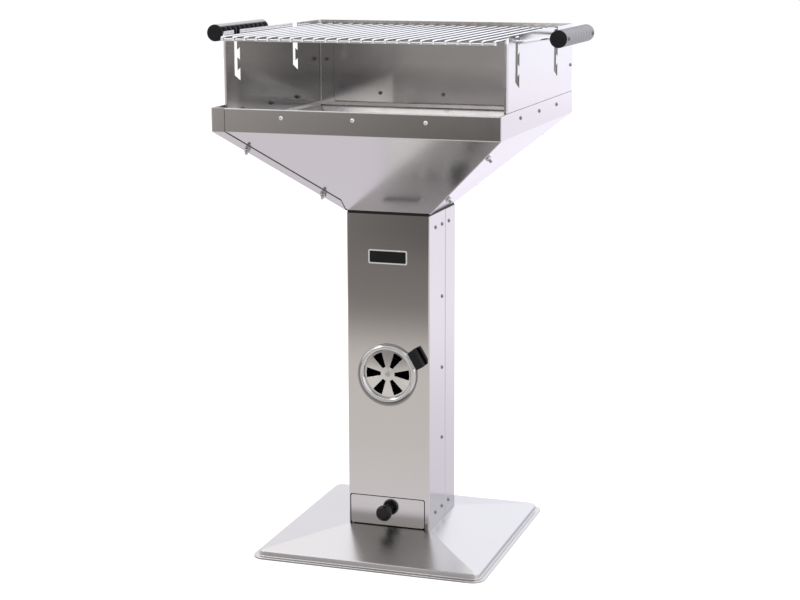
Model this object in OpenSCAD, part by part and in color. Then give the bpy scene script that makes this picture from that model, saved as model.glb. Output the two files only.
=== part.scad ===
// Pedestal barbecue grill of folded stainless sheet. A pressed foot carries a square column with an ash drawer and a
// rotary air damper. On the column sits a funnel-shaped bowl with a wind guard, a charcoal grate and a cooking grate.
// Millimetres, +Z up, the front faces -Y. The origin is on the ground under the middle of the column.

/* [Foot] */
// Width across the floor flange
foot_w = 446; // [380:1:560]
// Height of the flat top that the column stands on
foot_h = 37.5; // [32:0.5:60]
// Height of the upright skirt's top edge
foot_skirt_h = 12.5; // [10:0.5:24]
// Width of the floor flange outside the skirt
foot_flange = 10; // [8:0.5:18]
// Height of the floor flange's upper face
foot_lip_h = 3.5; // [3:0.5:8]
// Corner radius of the floor flange
foot_corner_r = 24; // [20:1:40]
// Sheet thickness of the foot
foot_t = 2; // [1.5:0.1:2.5]

/* [Column] */
// Outside width of the square column
column_w = 160; // [150:1:190]
// Height of the column
column_h = 595; // [520:1:760]
// Sheet thickness of the column and its collars
column_t = 1.5; // [1:0.1:1.8]
// Outer bend radius of the column's edges
column_bend = 3; // [2.5:0.1:4]
// Distance of the side seams behind the column's middle
seam_back = 15.5; // [8:0.5:25]
// How far the back sheet reaches under the front sheet
seam_lap = 33.5; // [26:0.5:40]
// Number of screws in each side seam
seam_screws_n = 5; // [3:1:7]
// Distance of the end screws from the column's ends
seam_end = 25; // [18:0.5:28]
// Distance of the outer collar screws from the seam screws' row
collar_screw_y = 40; // [30:1:45]
// Height of the collar on the foot
foot_collar_h = 36; // [34:1:45]
// How far the bowl's collar reaches down into the column
neck_collar_h = 45; // [36:1:70]

/* [Fasteners] */
// Thread diameter of the dome-head screws
screw_d = 4; // [3:0.5:5]
// Head diameter of the dome-head screws
screw_head_d = 8; // [7:0.1:10]
// Head height of the dome-head screws
screw_head_h = 2.4; // [1.8:0.1:3]
// Width across the flats of their nuts
screw_nut_w = 7; // [6.5:0.1:9]
// Height of their nuts
screw_nut_h = 3.2; // [2.4:0.1:4]
// Thread that stands out past a nut or a sheet
screw_tail = 3.5; // [2:0.1:4]
// Thread diameter of the bowl's hexagon bolts
bolt_d = 6; // [5:0.5:6]
// Width across the flats of bolt heads and nuts
bolt_nut_w = 10; // [9:0.1:12]
// Height of bolt heads
bolt_head_h = 4; // [3:0.1:5]
// Height of bolt nuts
bolt_nut_h = 5; // [4:0.1:6]
// Bolt thread that stands out past its nut
bolt_tail = 6; // [2:0.1:9]

/* [Bowl] */
// Height of the open joint between column and bowl
bowl_gap = 4; // [2:0.5:8]
// Width across the bowl's upright band
bowl_w = 523; // [480:1:580]
// Height of the sloping part
bowl_rise = 158; // [140:1:190]
// Height of the upright band
band_h = 41.5; // [38:0.5:60]
// Sheet thickness of the bowl
bowl_t = 1.5; // [1:0.1:1.8]
// Width of the flange that each panel laps over its neighbour
lap_w = 25; // [20:0.5:32]
// Distance of the lap bolts from the bowl's corner edge
lap_bolt_inset = 14; // [12:0.5:16]
// Height of the lower lap bolts above the bowl's lower edge
lap_bolt_low = 36.5; // [32:0.5:60]
// Distance of the upper lap bolts below the band
lap_bolt_high = 32.5; // [15:0.5:50]
// Spacing of the screws in the band
rim_pitch = 131; // [100:1:150]
// Distance of the band's screws below its top edge
rim_drop = 14.5; // [10:0.5:20]
// Width of the hem that is turned in along the front of the band
hem_w = 3; // [2:0.1:6]

/* [Wind guard] */
// Height of the wind guard above the band
guard_h = 129; // [124:1:180]
// How far the guard reaches down inside the band
guard_dip = 34; // [24:0.5:36]
// Distance of the side walls' front edges behind the band
guard_setback = 49; // [30:1:80]
// Sheet thickness of the guard
guard_t = 1.5; // [1:0.1:1.8]
// Width of the turned-in front edges
guard_return = 6.5; // [6:0.1:8]
// Outer radius of the side walls' front folds
guard_front_r = 5; // [3:0.5:5.5]
// Radius of the side walls' upper front corners
guard_corner_r = 8; // [5:0.5:15]
// Width of the guard's corner flanges
guard_flange = 30; // [24:0.5:40]
// Distance of the corner bolts below the guard's top
guard_bolt_drop = 78; // [60:1:100]
// Distance of the corner bolts from the guard's corner
guard_bolt_inset = 15; // [12:0.5:18]

/* [Height slots] */
// Distance of the front slots behind the side walls' front edges
slot_front = 47.5; // [30:0.5:60]
// Distance from the front slot to the back slot
slot_pitch = 276.3; // [200:1:290]
// Width of a slot with its seats
slot_w = 26.5; // [24:0.1:28]
// Width of a slot's upright channel
channel_w = 14.5; // [12:0.1:15]
// Depth of the lowest seat below the guard's top
seat_depth = 92; // [88:0.5:100]
// Height between two seats
seat_pitch = 37; // [34:0.5:38]
// Height of a seat's opening at its back
seat_h = 24.5; // [22:0.1:26]
// Fall of a seat's floor towards the back, per millimetre
seat_slope = 0.46; // [0.2:0.01:0.6]
// Fall of a seat's roof towards the channel
seat_roof = 4.5; // [2:0.1:6]

/* [Cooking grate] */
// Distance between the outer bars
grate_w = 492; // [440:1:495]
// Distance between the end wires
grate_l = 476; // [440:1:480]
// Number of bars
bars_n = 24; // [16:1:28]
// Diameter of the bars
bar_d = 4; // [3:0.1:5]
// Diameter of the end wires
end_wire_d = 5; // [4:0.1:6]
// Diameter of the rods that lie in the slots
rod_d = 6; // [5:0.1:7]
// Distance of the grips from the middle of the grill
grip_x = 321; // [305:1:360]
// Height of the grips above the rods
grip_rise = 4; // [0:0.5:10]
// Length of a grip without its end caps
grip_l = 211; // [180:1:230]
// Diameter of a grip
grip_d = 30.6; // [26:0.1:34]
// Number of ribs on a grip
grip_ribs = 10; // [6:1:14]
// Depth of the grooves between the ribs
grip_groove = 1.1; // [0.5:0.1:2]
// Width of the grooves between the ribs
grip_groove_w = 2.2; // [1:0.1:4]
// Thickness of a grip's end caps
grip_cap_t = 2.5; // [2:0.1:4]
// Straight stretch of rod beside a grip
arm_straight = 8; // [4:0.5:14]

/* [Charcoal grate] */
// Height of the charcoal grate's frame above the bowl's lower edge
coal_rise = 64; // [45:1:90]
// Diameter of the frame's wire
coal_wire_d = 7; // [5:0.5:9]
// Diameter of the charcoal grate's bars
coal_bar_d = 5; // [4:0.5:7]
// Largest spacing of the charcoal grate's bars
coal_pitch = 22; // [15:1:30]

/* [Damper] */
// Height of the damper's middle above the column's foot
damper_rise = 297.5; // [200:0.5:350]
// Outer radius of the damper's raised ring
damper_r = 56; // [50:0.5:60]
// Width of the raised ring
damper_ring_w = 11; // [8:0.5:12]
// How far the raised ring stands out from the disc
damper_ring_h = 8.5; // [6:0.1:12]
// Sheet thickness of the disc and its seat
damper_t = 1.2; // [1:0.1:1.5]
// Number of air openings
vents_n = 6; // [4:1:6]
// Inner radius of the air openings
vent_r0 = 13.5; // [12:0.5:16]
// Outer radius of the air openings
vent_r1 = 42; // [34:0.5:43]
// Angle that one opening takes
vent_angle = 27; // [15:1:29]
// Angle of the grip above the horizontal
damper_grip_angle = 30; // [20:1:40]
// Length of the damper's grip along the ring
damper_grip_l = 36; // [28:0.5:40]
// Width of the damper's grip
damper_grip_w = 16.5; // [12:0.5:18]
// Height of the damper's grip
damper_grip_h = 14; // [10:0.5:18]

/* [Ash drawer] */
// Width of the drawer's front
drawer_w = 146; // [140:0.5:146]
// Height of the drawer's front
drawer_h = 55.7; // [50:0.1:70]
// Open joint under the drawer's front
drawer_lift = 2; // [1:0.1:3]
// Sideways place of the drawer's middle
drawer_x = -3.2; // [-3.5:0.1:3.5]
// Open joint round the drawer's front
drawer_joint = 1.2; // [0.6:0.1:1.8]
// Sheet thickness of the tray
tray_t = 1.2; // [1:0.1:1.5]
// Inset of the tray from the front's side edges
tray_inset = 5; // [4.7:0.1:8]
// Length of the tray
tray_l = 149; // [120:1:150]
// Diameter of the knob
knob_d = 30; // [24:0.5:34]
// How far the knob stands out
knob_l = 28; // [22:0.5:34]

/* [Name plate] */
// Width of the blank plate
plate_w = 75; // [40:1:100]
// Height of the blank plate
plate_h = 26.5; // [16:0.5:40]
// Thickness of the blank plate
plate_t = 1; // [0.5:0.1:2]
// Distance of the plate's middle below the column's top
plate_drop = 78.5; // [60:0.5:120]

/* [Hidden] */
$fn = 48;

steel = "silver";
bright = "gainsboro";
black = "#2b2b2e";

// Clearances: through a cut, in a screw hole, in a thread, between loose pieces, round a turning pin, at a weld, and the
// swelling of a wire at its elbows.
cut = 1;
hole_fit = 0.2;
thread_fit = 0.05;
loose_fit = 0.3;
pin_fit = 0.05;
weld_fit = 0.05;
elbow_swell = 0.02;

// Column
column_half = column_w / 2;
column_z1 = foot_h + column_h;
collar_half = column_half - 2 * column_t;
seam_joint = 0.3;
joggle = 3;
seam_row_y = seam_back - seam_lap / 2 - 1.75;
seam_step = (column_h - 2 * seam_end) / (seam_screws_n - 1);
seam_z = [for (i = [0:seam_screws_n - 1]) foot_h + seam_end + i * seam_step];
end_z = [foot_h + seam_end, column_z1 - seam_end];
collar_shank = 3 * column_t + screw_tail;

// Foot
foot_half = foot_w / 2;
skirt_half = foot_half - foot_flange;
skirt_corner_r = foot_corner_r - foot_flange;
foot_top_half = column_half + 2;
foot_slope = (foot_h - foot_skirt_h) / (skirt_half - foot_top_half);
foot_slope_t = foot_t * sqrt(1 + foot_slope * foot_slope);
foot_collar_front = -column_half + 10;

// Bowl
bowl_half = bowl_w / 2;
bowl_run = bowl_half - column_half;
bowl_z0 = column_z1 + bowl_gap;
band_z0 = bowl_z0 + bowl_rise;
band_z1 = band_z0 + band_h;
bowl_angle = atan(bowl_rise / bowl_run);
slope_t = bowl_t / sin(bowl_angle);
lip_h = 20;
lap_bolt_z = [bowl_z0 + lap_bolt_low, band_z0 - lap_bolt_high];
rim_z = band_z1 - rim_drop;

// Wind guard
guard_half = bowl_half - bowl_t;
guard_y0 = -guard_half + guard_setback;
guard_z0 = band_z1 - guard_dip;
guard_z1 = band_z1 + guard_h;
guard_bolt_z = guard_z1 - guard_bolt_drop;
slot_y0 = [guard_y0 + slot_front, guard_y0 + slot_front + slot_pitch];
seat_z0 = guard_z1 - seat_depth;
seats = 3;

// Cooking grate: its rods lie in the top seats
rod_gap = rod_d / 2 + loose_fit;
rod_y = [for (y = slot_y0) y + slot_w - rod_gap];
rod_z = seat_z0 + (seats - 1) * seat_pitch + rod_gap * (seat_slope + sqrt(1 + seat_slope * seat_slope));
bar_z = rod_z + rod_d / 2 + bar_d / 2 + weld_fit;
end_wire_z = bar_z - bar_d / 2 - end_wire_d / 2 - weld_fit;
grate_y = (rod_y[0] + rod_y[1]) / 2;
end_wire_y = [grate_y - grate_l / 2, grate_y + grate_l / 2];
bar_reach = grate_l / 2 + end_wire_d / 2 + bar_d / 2 + weld_fit;
bar_pitch = grate_w / (bars_n - 1);
grip_z = rod_z + grip_rise;
rib_pitch = grip_l / grip_ribs;
arm_y = [grate_y - grip_l / 2 + rib_pitch / 2, grate_y + grip_l / 2 - rib_pitch / 2];
arm_bend_x = guard_half + rod_d + 2;
rod_in_grip = 2;
grip_screw_l = grip_d / 2 - rod_in_grip - loose_fit;

// Charcoal grate: its frame lies on the bowl's slopes
coal_z = bowl_z0 + coal_rise;
coal_half = half_at(coal_z) - slope_t - (coal_wire_d / 2 + loose_fit) / sin(bowl_angle);
coal_bars_n = 1 + 2 * ceil((coal_half - coal_wire_d) / coal_pitch - 0.5);
coal_step = 2 * (coal_half - coal_wire_d) / (coal_bars_n - 1);
coal_bar_z = coal_z + coal_wire_d / 2 + coal_bar_d / 2 + weld_fit;

// Damper
damper_z = foot_h + damper_rise;
dish_r = damper_r - damper_ring_w;
damper_hole_r = dish_r + 1;
seat_r = damper_r - 4;
disc_z = damper_t + loose_fit;
rivet_r = 3;
rivet_head_r = 5;
rivet_head_h = 2;
tab_z = disc_z + 4;
tab_t = 1.5;
tab_l = 10;
lug_h = damper_grip_h - 3;
lug_gap = 0.3;
damper_grip_r0 = damper_r + 3.7;

// Ash drawer
drawer_z0 = foot_h + drawer_lift;
drawer_x0 = drawer_x - drawer_w / 2;
drawer_x1 = drawer_x + drawer_w / 2;
drawer_corner_r = 4;
tray_z0 = foot_h + 0.4;
tray_top = drawer_z0 + drawer_h - 3.5;
tray_w = drawer_w - 2 * tray_inset;
knob_z = drawer_z0 + drawer_h / 2 + 2.5;
knob_neck_r = knob_d * 0.24;
knob_hole_l = 12;
notch_w = 5;
notch_h = 12.5;

// --- helpers -------------------------------------------------------------------------------------------------------

// Half-width of the bowl's outer face at height z on its sloping part
function half_at(z) = column_half + (z - bowl_z0) * bowl_run / bowl_rise;

// Height at which the bowl's outer face has a half-width
function height_at(half) = bowl_z0 + (half - column_half) * bowl_rise / bowl_run;

// [half-width, height] of the bowl's face, k sheets out from the panels' outer face, from the lower edge to the top
function bowl_edge(k) = [
    [column_half + k * slope_t, bowl_z0],
    [bowl_half + k * bowl_t, band_z0 + k * (bowl_t - slope_t) * bowl_rise / bowl_run],
    [bowl_half + k * bowl_t, band_z1]
];

function reversed(list) = [for (i = [len(list) - 1:-1:0]) list[i]];

function flipped(list) = [for (p = list) [-p[0], p[1]]];

// A profile drawn as [distance towards the front, height], extruded along X
module along_x(length) {
    rotate([90, 0, -90]) linear_extrude(height = length, center = true) children();
}

// A profile drawn as [X, height], extruded along Y
module along_y(length) {
    rotate([90, 0, 0]) linear_extrude(height = length, center = true) children();
}

// A profile drawn as [Y, height], extruded from x towards +X
module wall_at_x(x, thickness) {
    translate([x, 0, 0]) rotate([90, 0, 90]) linear_extrude(height = thickness) children();
}

module rounded_square(size_x, size_y, r) {
    square([size_x - 2 * r, size_y], center = true);
    square([size_x, size_y - 2 * r], center = true);
    for (sx = [-1, 1], sy = [-1, 1])
        translate([sx * (size_x / 2 - r), sy * (size_y / 2 - r)]) circle(r);
}

module square_tube_outline(half, thickness, r) {
    difference() {
        rounded_square(2 * half, 2 * half, r);
        rounded_square(2 * (half - thickness), 2 * (half - thickness), r - thickness);
    }
}

// Square pyramid stump: half-width half0 at z0 and half1 at z1
module stump(half0, z0, half1, z1) {
    outline = [[-half0, z0], [half0, z0], [half1, z1], [-half1, z1]];
    length = 2 * max(half0, half1) + cut;
    intersection() {
        along_x(length) polygon(outline);
        along_y(length) polygon(outline);
    }
}

// Dome-head screw: head on +Z, shank along -Z
module dome_screw(length) {
    dome_r = (pow(screw_head_d / 2, 2) + pow(screw_head_h, 2)) / (2 * screw_head_h);
    intersection() {
        translate([0, 0, screw_head_h - dome_r]) sphere(dome_r);
        cylinder(h = screw_head_h, d = screw_head_d);
    }
    translate([0, 0, -length]) cylinder(h = length + screw_head_h / 2, d = screw_d);
}

// Hexagon nut standing on z = 0
module hex_nut(width, height, thread_d) {
    difference() {
        cylinder(h = height, d = width / cos(30), $fn = 6);
        translate([0, 0, -cut]) cylinder(h = height + 2 * cut, d = thread_d + 2 * thread_fit);
    }
}

module screw_nut() {
    hex_nut(screw_nut_w, screw_nut_h, screw_d);
}

// Wire through a list of points, with round elbows
module wire(points, d) {
    for (i = [0:len(points) - 2]) {
        step = points[i + 1] - points[i];
        translate(points[i]) rotate([0, acos(step[2] / norm(step)), atan2(step[1], step[0])]) {
            cylinder(h = norm(step), d = d);
            if (i > 0) sphere(d = d + 2 * elbow_swell);
        }
    }
}

// --- places --------------------------------------------------------------------------------------------------------

// Seam screws on both sides: +Z points out of the column's side
module at_seam_screws() {
    for (side = [-1, 1], z = seam_z)
        translate([side * column_half, seam_row_y, z]) rotate([0, side * 90, 0]) children();
}

module at_collar_screws() {
    for (side = [-1, 1], z = end_z, y = [-1, 1])
        translate([side * column_half, seam_row_y + y * collar_screw_y, z]) rotate([0, side * 90, 0]) children();
}

// Bolts through the lap on the panel at -Y, beside its left corner: +Z is the panel's outward normal
module at_lap_bolts() {
    for (z = lap_bolt_z)
        translate([lap_bolt_inset - half_at(z), -half_at(z), z]) rotate([180 - bowl_angle, 0, 0]) children();
}

// Screws in the band on the side at -Y: +Z points out
module at_rim_screws() {
    for (i = [-1:1])
        translate([i * rim_pitch, -bowl_half, rim_z]) rotate([90, 0, 0]) children();
}

// Corner bolts of the wind guard, back left and then back right: +Z points out
module at_guard_bolts() {
    translate([guard_bolt_inset - guard_half, guard_half, guard_bolt_z]) rotate([-90, 0, 0]) children();
    translate([guard_half, guard_half - guard_bolt_inset, guard_bolt_z]) rotate([0, 90, 0]) children();
}

// Middle of the damper on the column's front: +Z points out
module at_damper() {
    translate([0, -column_half, damper_z]) rotate([90, 0, 0]) children();
}

// Middle of the knob on the drawer's front: +Z points out
module at_knob() {
    translate([drawer_x, -column_half, knob_z]) rotate([90, 0, 0]) children();
}

module screw_hole() {
    cylinder(h = 8 * column_t, d = screw_d + 2 * hole_fit, center = true);
}

module bolt_hole() {
    cylinder(h = 8 * bowl_t, d = bolt_d + 2 * hole_fit, center = true);
}

// --- foot and column -----------------------------------------------------------------------------------------------

// The foot's slopes and skirt as a solid, k sheets in from the outer face
module foot_body(k) {
    top = foot_h - k * foot_slope_t;
    intersection() {
        stump(foot_top_half + (top + cut) / foot_slope, -cut, foot_top_half, top);
        linear_extrude(height = foot_h)
            rounded_square(2 * (skirt_half - k * foot_t), 2 * (skirt_half - k * foot_t), skirt_corner_r - k * foot_t);
    }
}

module foot_plate() {
    color(steel) {
        difference() {
            foot_body(0);
            foot_body(1);
            translate([-foot_half, -foot_half, -cut]) cube([foot_w, foot_w, foot_lip_h - foot_t + cut]);
        }
        difference() {
            linear_extrude(height = foot_lip_h) rounded_square(foot_w, foot_w, foot_corner_r);
            translate([0, 0, -cut]) linear_extrude(height = foot_lip_h + cut - foot_t)
                rounded_square(foot_w - 2 * foot_t, foot_w - 2 * foot_t, foot_corner_r - foot_t);
            translate([0, 0, -cut]) linear_extrude(height = foot_lip_h + 2 * cut)
                rounded_square(2 * (skirt_half - foot_t), 2 * (skirt_half - foot_t), skirt_corner_r - foot_t);
        }
    }
}

// Open at the front, where the drawer passes
module foot_collar() {
    color(steel) difference() {
        translate([0, 0, foot_h]) linear_extrude(height = foot_collar_h) intersection() {
            square_tube_outline(collar_half, column_t, column_bend);
            translate([-column_half, foot_collar_front]) square([column_w, column_w]);
        }
        at_seam_screws() screw_hole_deep();
        at_collar_screws() screw_hole_deep();
    }
}

module screw_hole_deep() {
    cylinder(h = 16 * column_t, d = screw_d + 2 * hole_fit, center = true);
}

module drawer_opening() {
    width = drawer_w + 2 * drawer_joint;
    top = drawer_z0 + drawer_h + drawer_joint;
    translate([0, -column_half, 0]) along_y(4 * column_bend) {
        intersection() {
            translate([drawer_x, top - drawer_h]) rounded_square(width, 2 * drawer_h, drawer_corner_r);
            translate([drawer_x - column_w, foot_h - cut]) square([2 * column_w, column_h]);
        }
        translate([drawer_x1, foot_h - cut]) square([drawer_joint + notch_w, notch_h + cut]);
    }
}

module column_front() {
    color(steel) difference() {
        translate([0, 0, foot_h]) linear_extrude(height = column_h) intersection() {
            square_tube_outline(column_half, column_t, column_bend);
            translate([-column_w, -column_w]) square([2 * column_w, column_w + seam_back]);
        }
        drawer_opening();
        at_damper() cylinder(h = 4 * column_t, r = damper_hole_r, center = true);
        at_seam_screws() screw_hole();
        at_collar_screws() screw_hole();
    }
}

// Flush with the front sheet, with tongues that step in behind its edges
module column_back() {
    color(steel) difference() {
        translate([0, 0, foot_h]) linear_extrude(height = column_h) {
            intersection() {
                square_tube_outline(column_half, column_t, column_bend);
                translate([-column_w, seam_back + seam_joint]) square([2 * column_w, column_w]);
            }
            for (side = [-1, 1])
                translate([side * (column_half - 1.5 * column_t) - column_t / 2, seam_back - seam_lap])
                    square([column_t, seam_lap + seam_joint + joggle]);
        }
        at_seam_screws() screw_hole_deep();
        at_collar_screws() screw_hole();
    }
}

module seam_screws() {
    color(bright) at_seam_screws() dome_screw(collar_shank);
}

module collar_screws() {
    color(bright) at_collar_screws() dome_screw(collar_shank);
}

// Square tube in the column's top, with a flared lip that lies inside the bowl and a rim that rests on the column
module neck_collar() {
    color(steel) {
        difference() {
            translate([0, 0, column_z1 - neck_collar_h])
                linear_extrude(height = neck_collar_h + bowl_gap + bowl_t)
                    square_tube_outline(collar_half, column_t, column_bend);
            at_seam_screws() screw_hole_deep();
            at_collar_screws() screw_hole_deep();
        }
        difference() {
            stump(column_half - slope_t, bowl_z0, half_at(bowl_z0 + lip_h) - slope_t, bowl_z0 + lip_h);
            stump(half_at(bowl_z0 - cut) - 2 * slope_t, bowl_z0 - cut,
                  half_at(bowl_z0 + lip_h + cut) - 2 * slope_t, bowl_z0 + lip_h + cut);
        }
        translate([0, 0, column_z1 + weld_fit]) linear_extrude(height = bowl_gap - weld_fit - loose_fit) difference() {
            rounded_square(2 * column_half - 2, 2 * column_half - 2, column_bend);
            rounded_square(2 * collar_half - column_t, 2 * collar_half - column_t, column_bend - column_t / 2);
        }
    }
}

// --- bowl ----------------------------------------------------------------------------------------------------------

// One panel, facing -Y: its sheet, and at its right-hand end the flange that laps over the next panel
module bowl_panel() {
    length = bowl_w + 4 * slope_t;
    lap_end = [[bowl_half - lap_w, band_z1], [bowl_half - lap_w, band_z0], [column_half, height_at(column_half + lap_w)]];
    color(steel) difference() {
        union() {
            intersection() {
                along_x(length) polygon(concat(bowl_edge(0), reversed(bowl_edge(-1))));
                along_y(length) polygon(concat(flipped(bowl_edge(-1)), reversed(bowl_edge(1))));
            }
            intersection() {
                along_y(length) polygon(concat(bowl_edge(0), reversed(bowl_edge(1))));
                along_x(length) polygon(concat(bowl_edge(0), lap_end));
            }
        }
        at_lap_bolts() bolt_hole();
        rotate([0, 0, 90]) at_lap_bolts() bolt_hole();
        at_rim_screws() screw_hole();
    }
}

module bowl_front() {
    bowl_panel();
    hem_half = bowl_half - bowl_t - seam_joint;
    color(steel) translate([-hem_half, -bowl_half, band_z1 - bowl_t]) cube([2 * hem_half, bowl_t + hem_w, bowl_t]);
}

module bowl_right() {
    rotate([0, 0, 90]) bowl_panel();
}

module bowl_back() {
    rotate([0, 0, 180]) bowl_panel();
}

module bowl_left() {
    rotate([0, 0, 270]) bowl_panel();
}

// Heads inside the bowl, threads outwards
module bowl_bolts() {
    shank = 2 * bowl_t + bolt_nut_h + bolt_tail;
    color(bright) for (a = [0:90:270]) rotate([0, 0, a]) at_lap_bolts() {
        translate([0, 0, -bowl_t]) cylinder(h = shank, d = bolt_d);
        translate([0, 0, -bowl_t - bolt_head_h]) cylinder(h = bolt_head_h, d = bolt_nut_w / cos(30), $fn = 6);
    }
}

module bowl_nuts() {
    color(bright) for (a = [0:90:270]) rotate([0, 0, a]) at_lap_bolts()
        translate([0, 0, bowl_t]) hex_nut(bolt_nut_w, bolt_nut_h, bolt_d);
}

// The front screws hold the band alone, the others also hold the wind guard
module rim_screws() {
    shank = bowl_t + screw_nut_h + screw_tail;
    color(bright) {
        at_rim_screws() dome_screw(shank);
        for (a = [90:90:270]) rotate([0, 0, a]) at_rim_screws() dome_screw(shank + guard_t);
    }
}

module rim_nuts() {
    color(bright) {
        at_rim_screws() translate([0, 0, -bowl_t - screw_nut_h]) screw_nut();
        for (a = [90:90:270]) rotate([0, 0, a]) at_rim_screws()
            translate([0, 0, -bowl_t - guard_t - screw_nut_h]) screw_nut();
    }
}

// --- wind guard ----------------------------------------------------------------------------------------------------

// Height slot: an upright channel with seats behind it, open at the top, its front side at y = 0
module slot_outline() {
    floor_at_channel = (slot_w - channel_w) * seat_slope;
    seat_tops = [for (i = [0:seats - 1]) seat_z0 + i * seat_pitch];
    tooth_points = [for (i = [0:seats - 2], p = [
        [slot_w, seat_tops[i]],
        [slot_w, seat_tops[i] + seat_h],
        [channel_w, seat_tops[i] + seat_h - seat_roof],
        [channel_w, seat_tops[i + 1] + floor_at_channel]
    ]) p];
    polygon(concat(
        [[0, guard_z1 + cut], [0, seat_z0 + slot_w * seat_slope]],
        tooth_points,
        [[slot_w, seat_tops[seats - 1]], [slot_w, guard_z1 + cut]]
    ));
}

// Side wall seen from the side, with its rounded front corner
module guard_side_blank(back_y) {
    difference() {
        translate([guard_y0, guard_z0]) square([back_y - guard_y0, guard_z1 - guard_z0]);
        translate([guard_y0, guard_z1 - guard_corner_r]) difference() {
            translate([-cut, 0]) square([guard_corner_r + cut, guard_corner_r + cut]);
            translate([guard_corner_r, 0]) circle(guard_corner_r);
        }
    }
}

// The same behind the front fold, with its slots
module guard_side_outline(back_y) {
    difference() {
        guard_side_blank(back_y);
        translate([guard_y0 - cut, guard_z0 - cut]) square([guard_front_r + cut, guard_z1 - guard_z0 + 2 * cut]);
        for (y = slot_y0) translate([y, 0]) slot_outline();
    }
}

// Front fold of a side wall and its turned-in edge, with a leg that runs on into the wall
module guard_front_return(side) {
    r = guard_front_r;
    intersection() {
        wall_at_x(-guard_half - cut, 2 * guard_half + 2 * cut) guard_side_blank(guard_y0 + 2 * r);
        translate([side * guard_half, guard_y0, guard_z0]) mirror([side > 0 ? 1 : 0, 0, 0])
            linear_extrude(height = guard_z1 - guard_z0) {
                translate([r, 0]) square([guard_return - r, guard_t]);
                translate([0, r]) square([guard_t, guard_t]);
                intersection() {
                    square([r, r]);
                    translate([r, r]) difference() {
                        circle(r);
                        circle(r - guard_t);
                    }
                }
            }
    }
}

module guard_left() {
    inner_back = guard_half - guard_t;
    color(steel) difference() {
        union() {
            wall_at_x(-guard_half, guard_t) guard_side_outline(inner_back);
            guard_front_return(-1);
            translate([-guard_half, inner_back - guard_t, guard_z0])
                cube([guard_flange, guard_t, guard_z1 - guard_z0]);
        }
        rotate([0, 0, 270]) at_rim_screws() screw_hole_deep();
        at_guard_bolts() screw_hole();
    }
}

module guard_back() {
    hem_half = guard_half - guard_flange - 2;
    color(steel) difference() {
        union() {
            translate([-guard_half, guard_half - guard_t, guard_z0])
                cube([2 * guard_half - guard_t, guard_t, guard_z1 - guard_z0]);
            translate([guard_half - 2 * guard_t, guard_half - guard_flange, guard_z0])
                cube([guard_t, guard_flange, guard_z1 - guard_z0]);
            translate([-hem_half, guard_half - guard_t - hem_w, guard_z0]) cube([2 * hem_half, hem_w + guard_t, guard_t]);
        }
        rotate([0, 0, 180]) at_rim_screws() screw_hole_deep();
        at_guard_bolts() screw_hole();
    }
}

module guard_right() {
    color(steel) difference() {
        union() {
            wall_at_x(guard_half - guard_t, guard_t) guard_side_outline(guard_half);
            guard_front_return(1);
        }
        rotate([0, 0, 90]) at_rim_screws() screw_hole_deep();
        at_guard_bolts() screw_hole();
    }
}

module guard_bolts() {
    color(bright) at_guard_bolts() dome_screw(2 * guard_t + screw_nut_h + screw_tail);
}

module guard_nuts() {
    color(bright) at_guard_bolts() translate([0, 0, -2 * guard_t - screw_nut_h]) screw_nut();
}

// --- damper --------------------------------------------------------------------------------------------------------

module vent_outlines() {
    reach = 2 * vent_r1;
    for (i = [0:vents_n - 1]) rotate(i * 360 / vents_n) intersection() {
        difference() {
            circle(vent_r1);
            circle(vent_r0);
        }
        polygon([[0, 0], [reach, -reach * tan(vent_angle / 2)], [reach, reach * tan(vent_angle / 2)]]);
    }
}

// Fixed plate over the hole in the column
module damper_seat() {
    color(steel) at_damper() linear_extrude(height = damper_t) difference() {
        circle(seat_r);
        vent_outlines();
        circle(rivet_r + pin_fit);
    }
}

// Round-topped strip, r to each side of the middle and as high as height, reaching below zero by drop
module ring_profile(r, height, drop) {
    translate([-r, -drop]) square([2 * r, height - r + drop]);
    intersection() {
        translate([0, height - r]) circle(r);
        translate([-r, 0]) square([2 * r, height]);
    }
}

// Turning disc with a raised ring and the folded tab that carries the grip
module damper_disc() {
    ring_mid = damper_r - damper_ring_w / 2;
    color(bright) at_damper() translate([0, 0, disc_z]) {
        linear_extrude(height = damper_t) difference() {
            circle(dish_r + damper_t);
            vent_outlines();
            circle(rivet_r + pin_fit);
        }
        rotate_extrude() translate([ring_mid, 0]) difference() {
            ring_profile(damper_ring_w / 2, damper_ring_h, 0);
            ring_profile(damper_ring_w / 2 - damper_t, damper_ring_h - damper_t, cut);
        }
        rotate([0, 0, damper_grip_angle]) translate([ring_mid, -damper_grip_l / 2 + 1, tab_z - disc_z])
            cube([damper_grip_r0 + tab_l - ring_mid, damper_grip_l - 2, tab_t]);
        rotate([0, 0, damper_grip_angle]) translate([damper_grip_r0 - lug_gap - tab_t, -damper_grip_l / 2 + 1, tab_z - disc_z])
            cube([tab_t, damper_grip_l - 2, tab_t + lug_h]);
    }
}

module damper_rivet() {
    color(bright) at_damper() {
        translate([0, 0, -rivet_head_h]) cylinder(h = rivet_head_h, r = rivet_head_r);
        translate([0, 0, -rivet_head_h / 2]) cylinder(h = disc_z + damper_t + rivet_head_h, r = rivet_r);
        translate([0, 0, disc_z + damper_t + pin_fit]) cylinder(h = rivet_head_h, r = rivet_head_r);
    }
}

module damper_grip() {
    color(black) at_damper() rotate([0, 0, damper_grip_angle])
        translate([damper_grip_r0 + damper_grip_w / 2, 0, tab_z + tab_t])
            linear_extrude(height = damper_grip_h) rounded_square(damper_grip_w, damper_grip_l, 2);
}

// --- ash drawer ----------------------------------------------------------------------------------------------------

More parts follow.
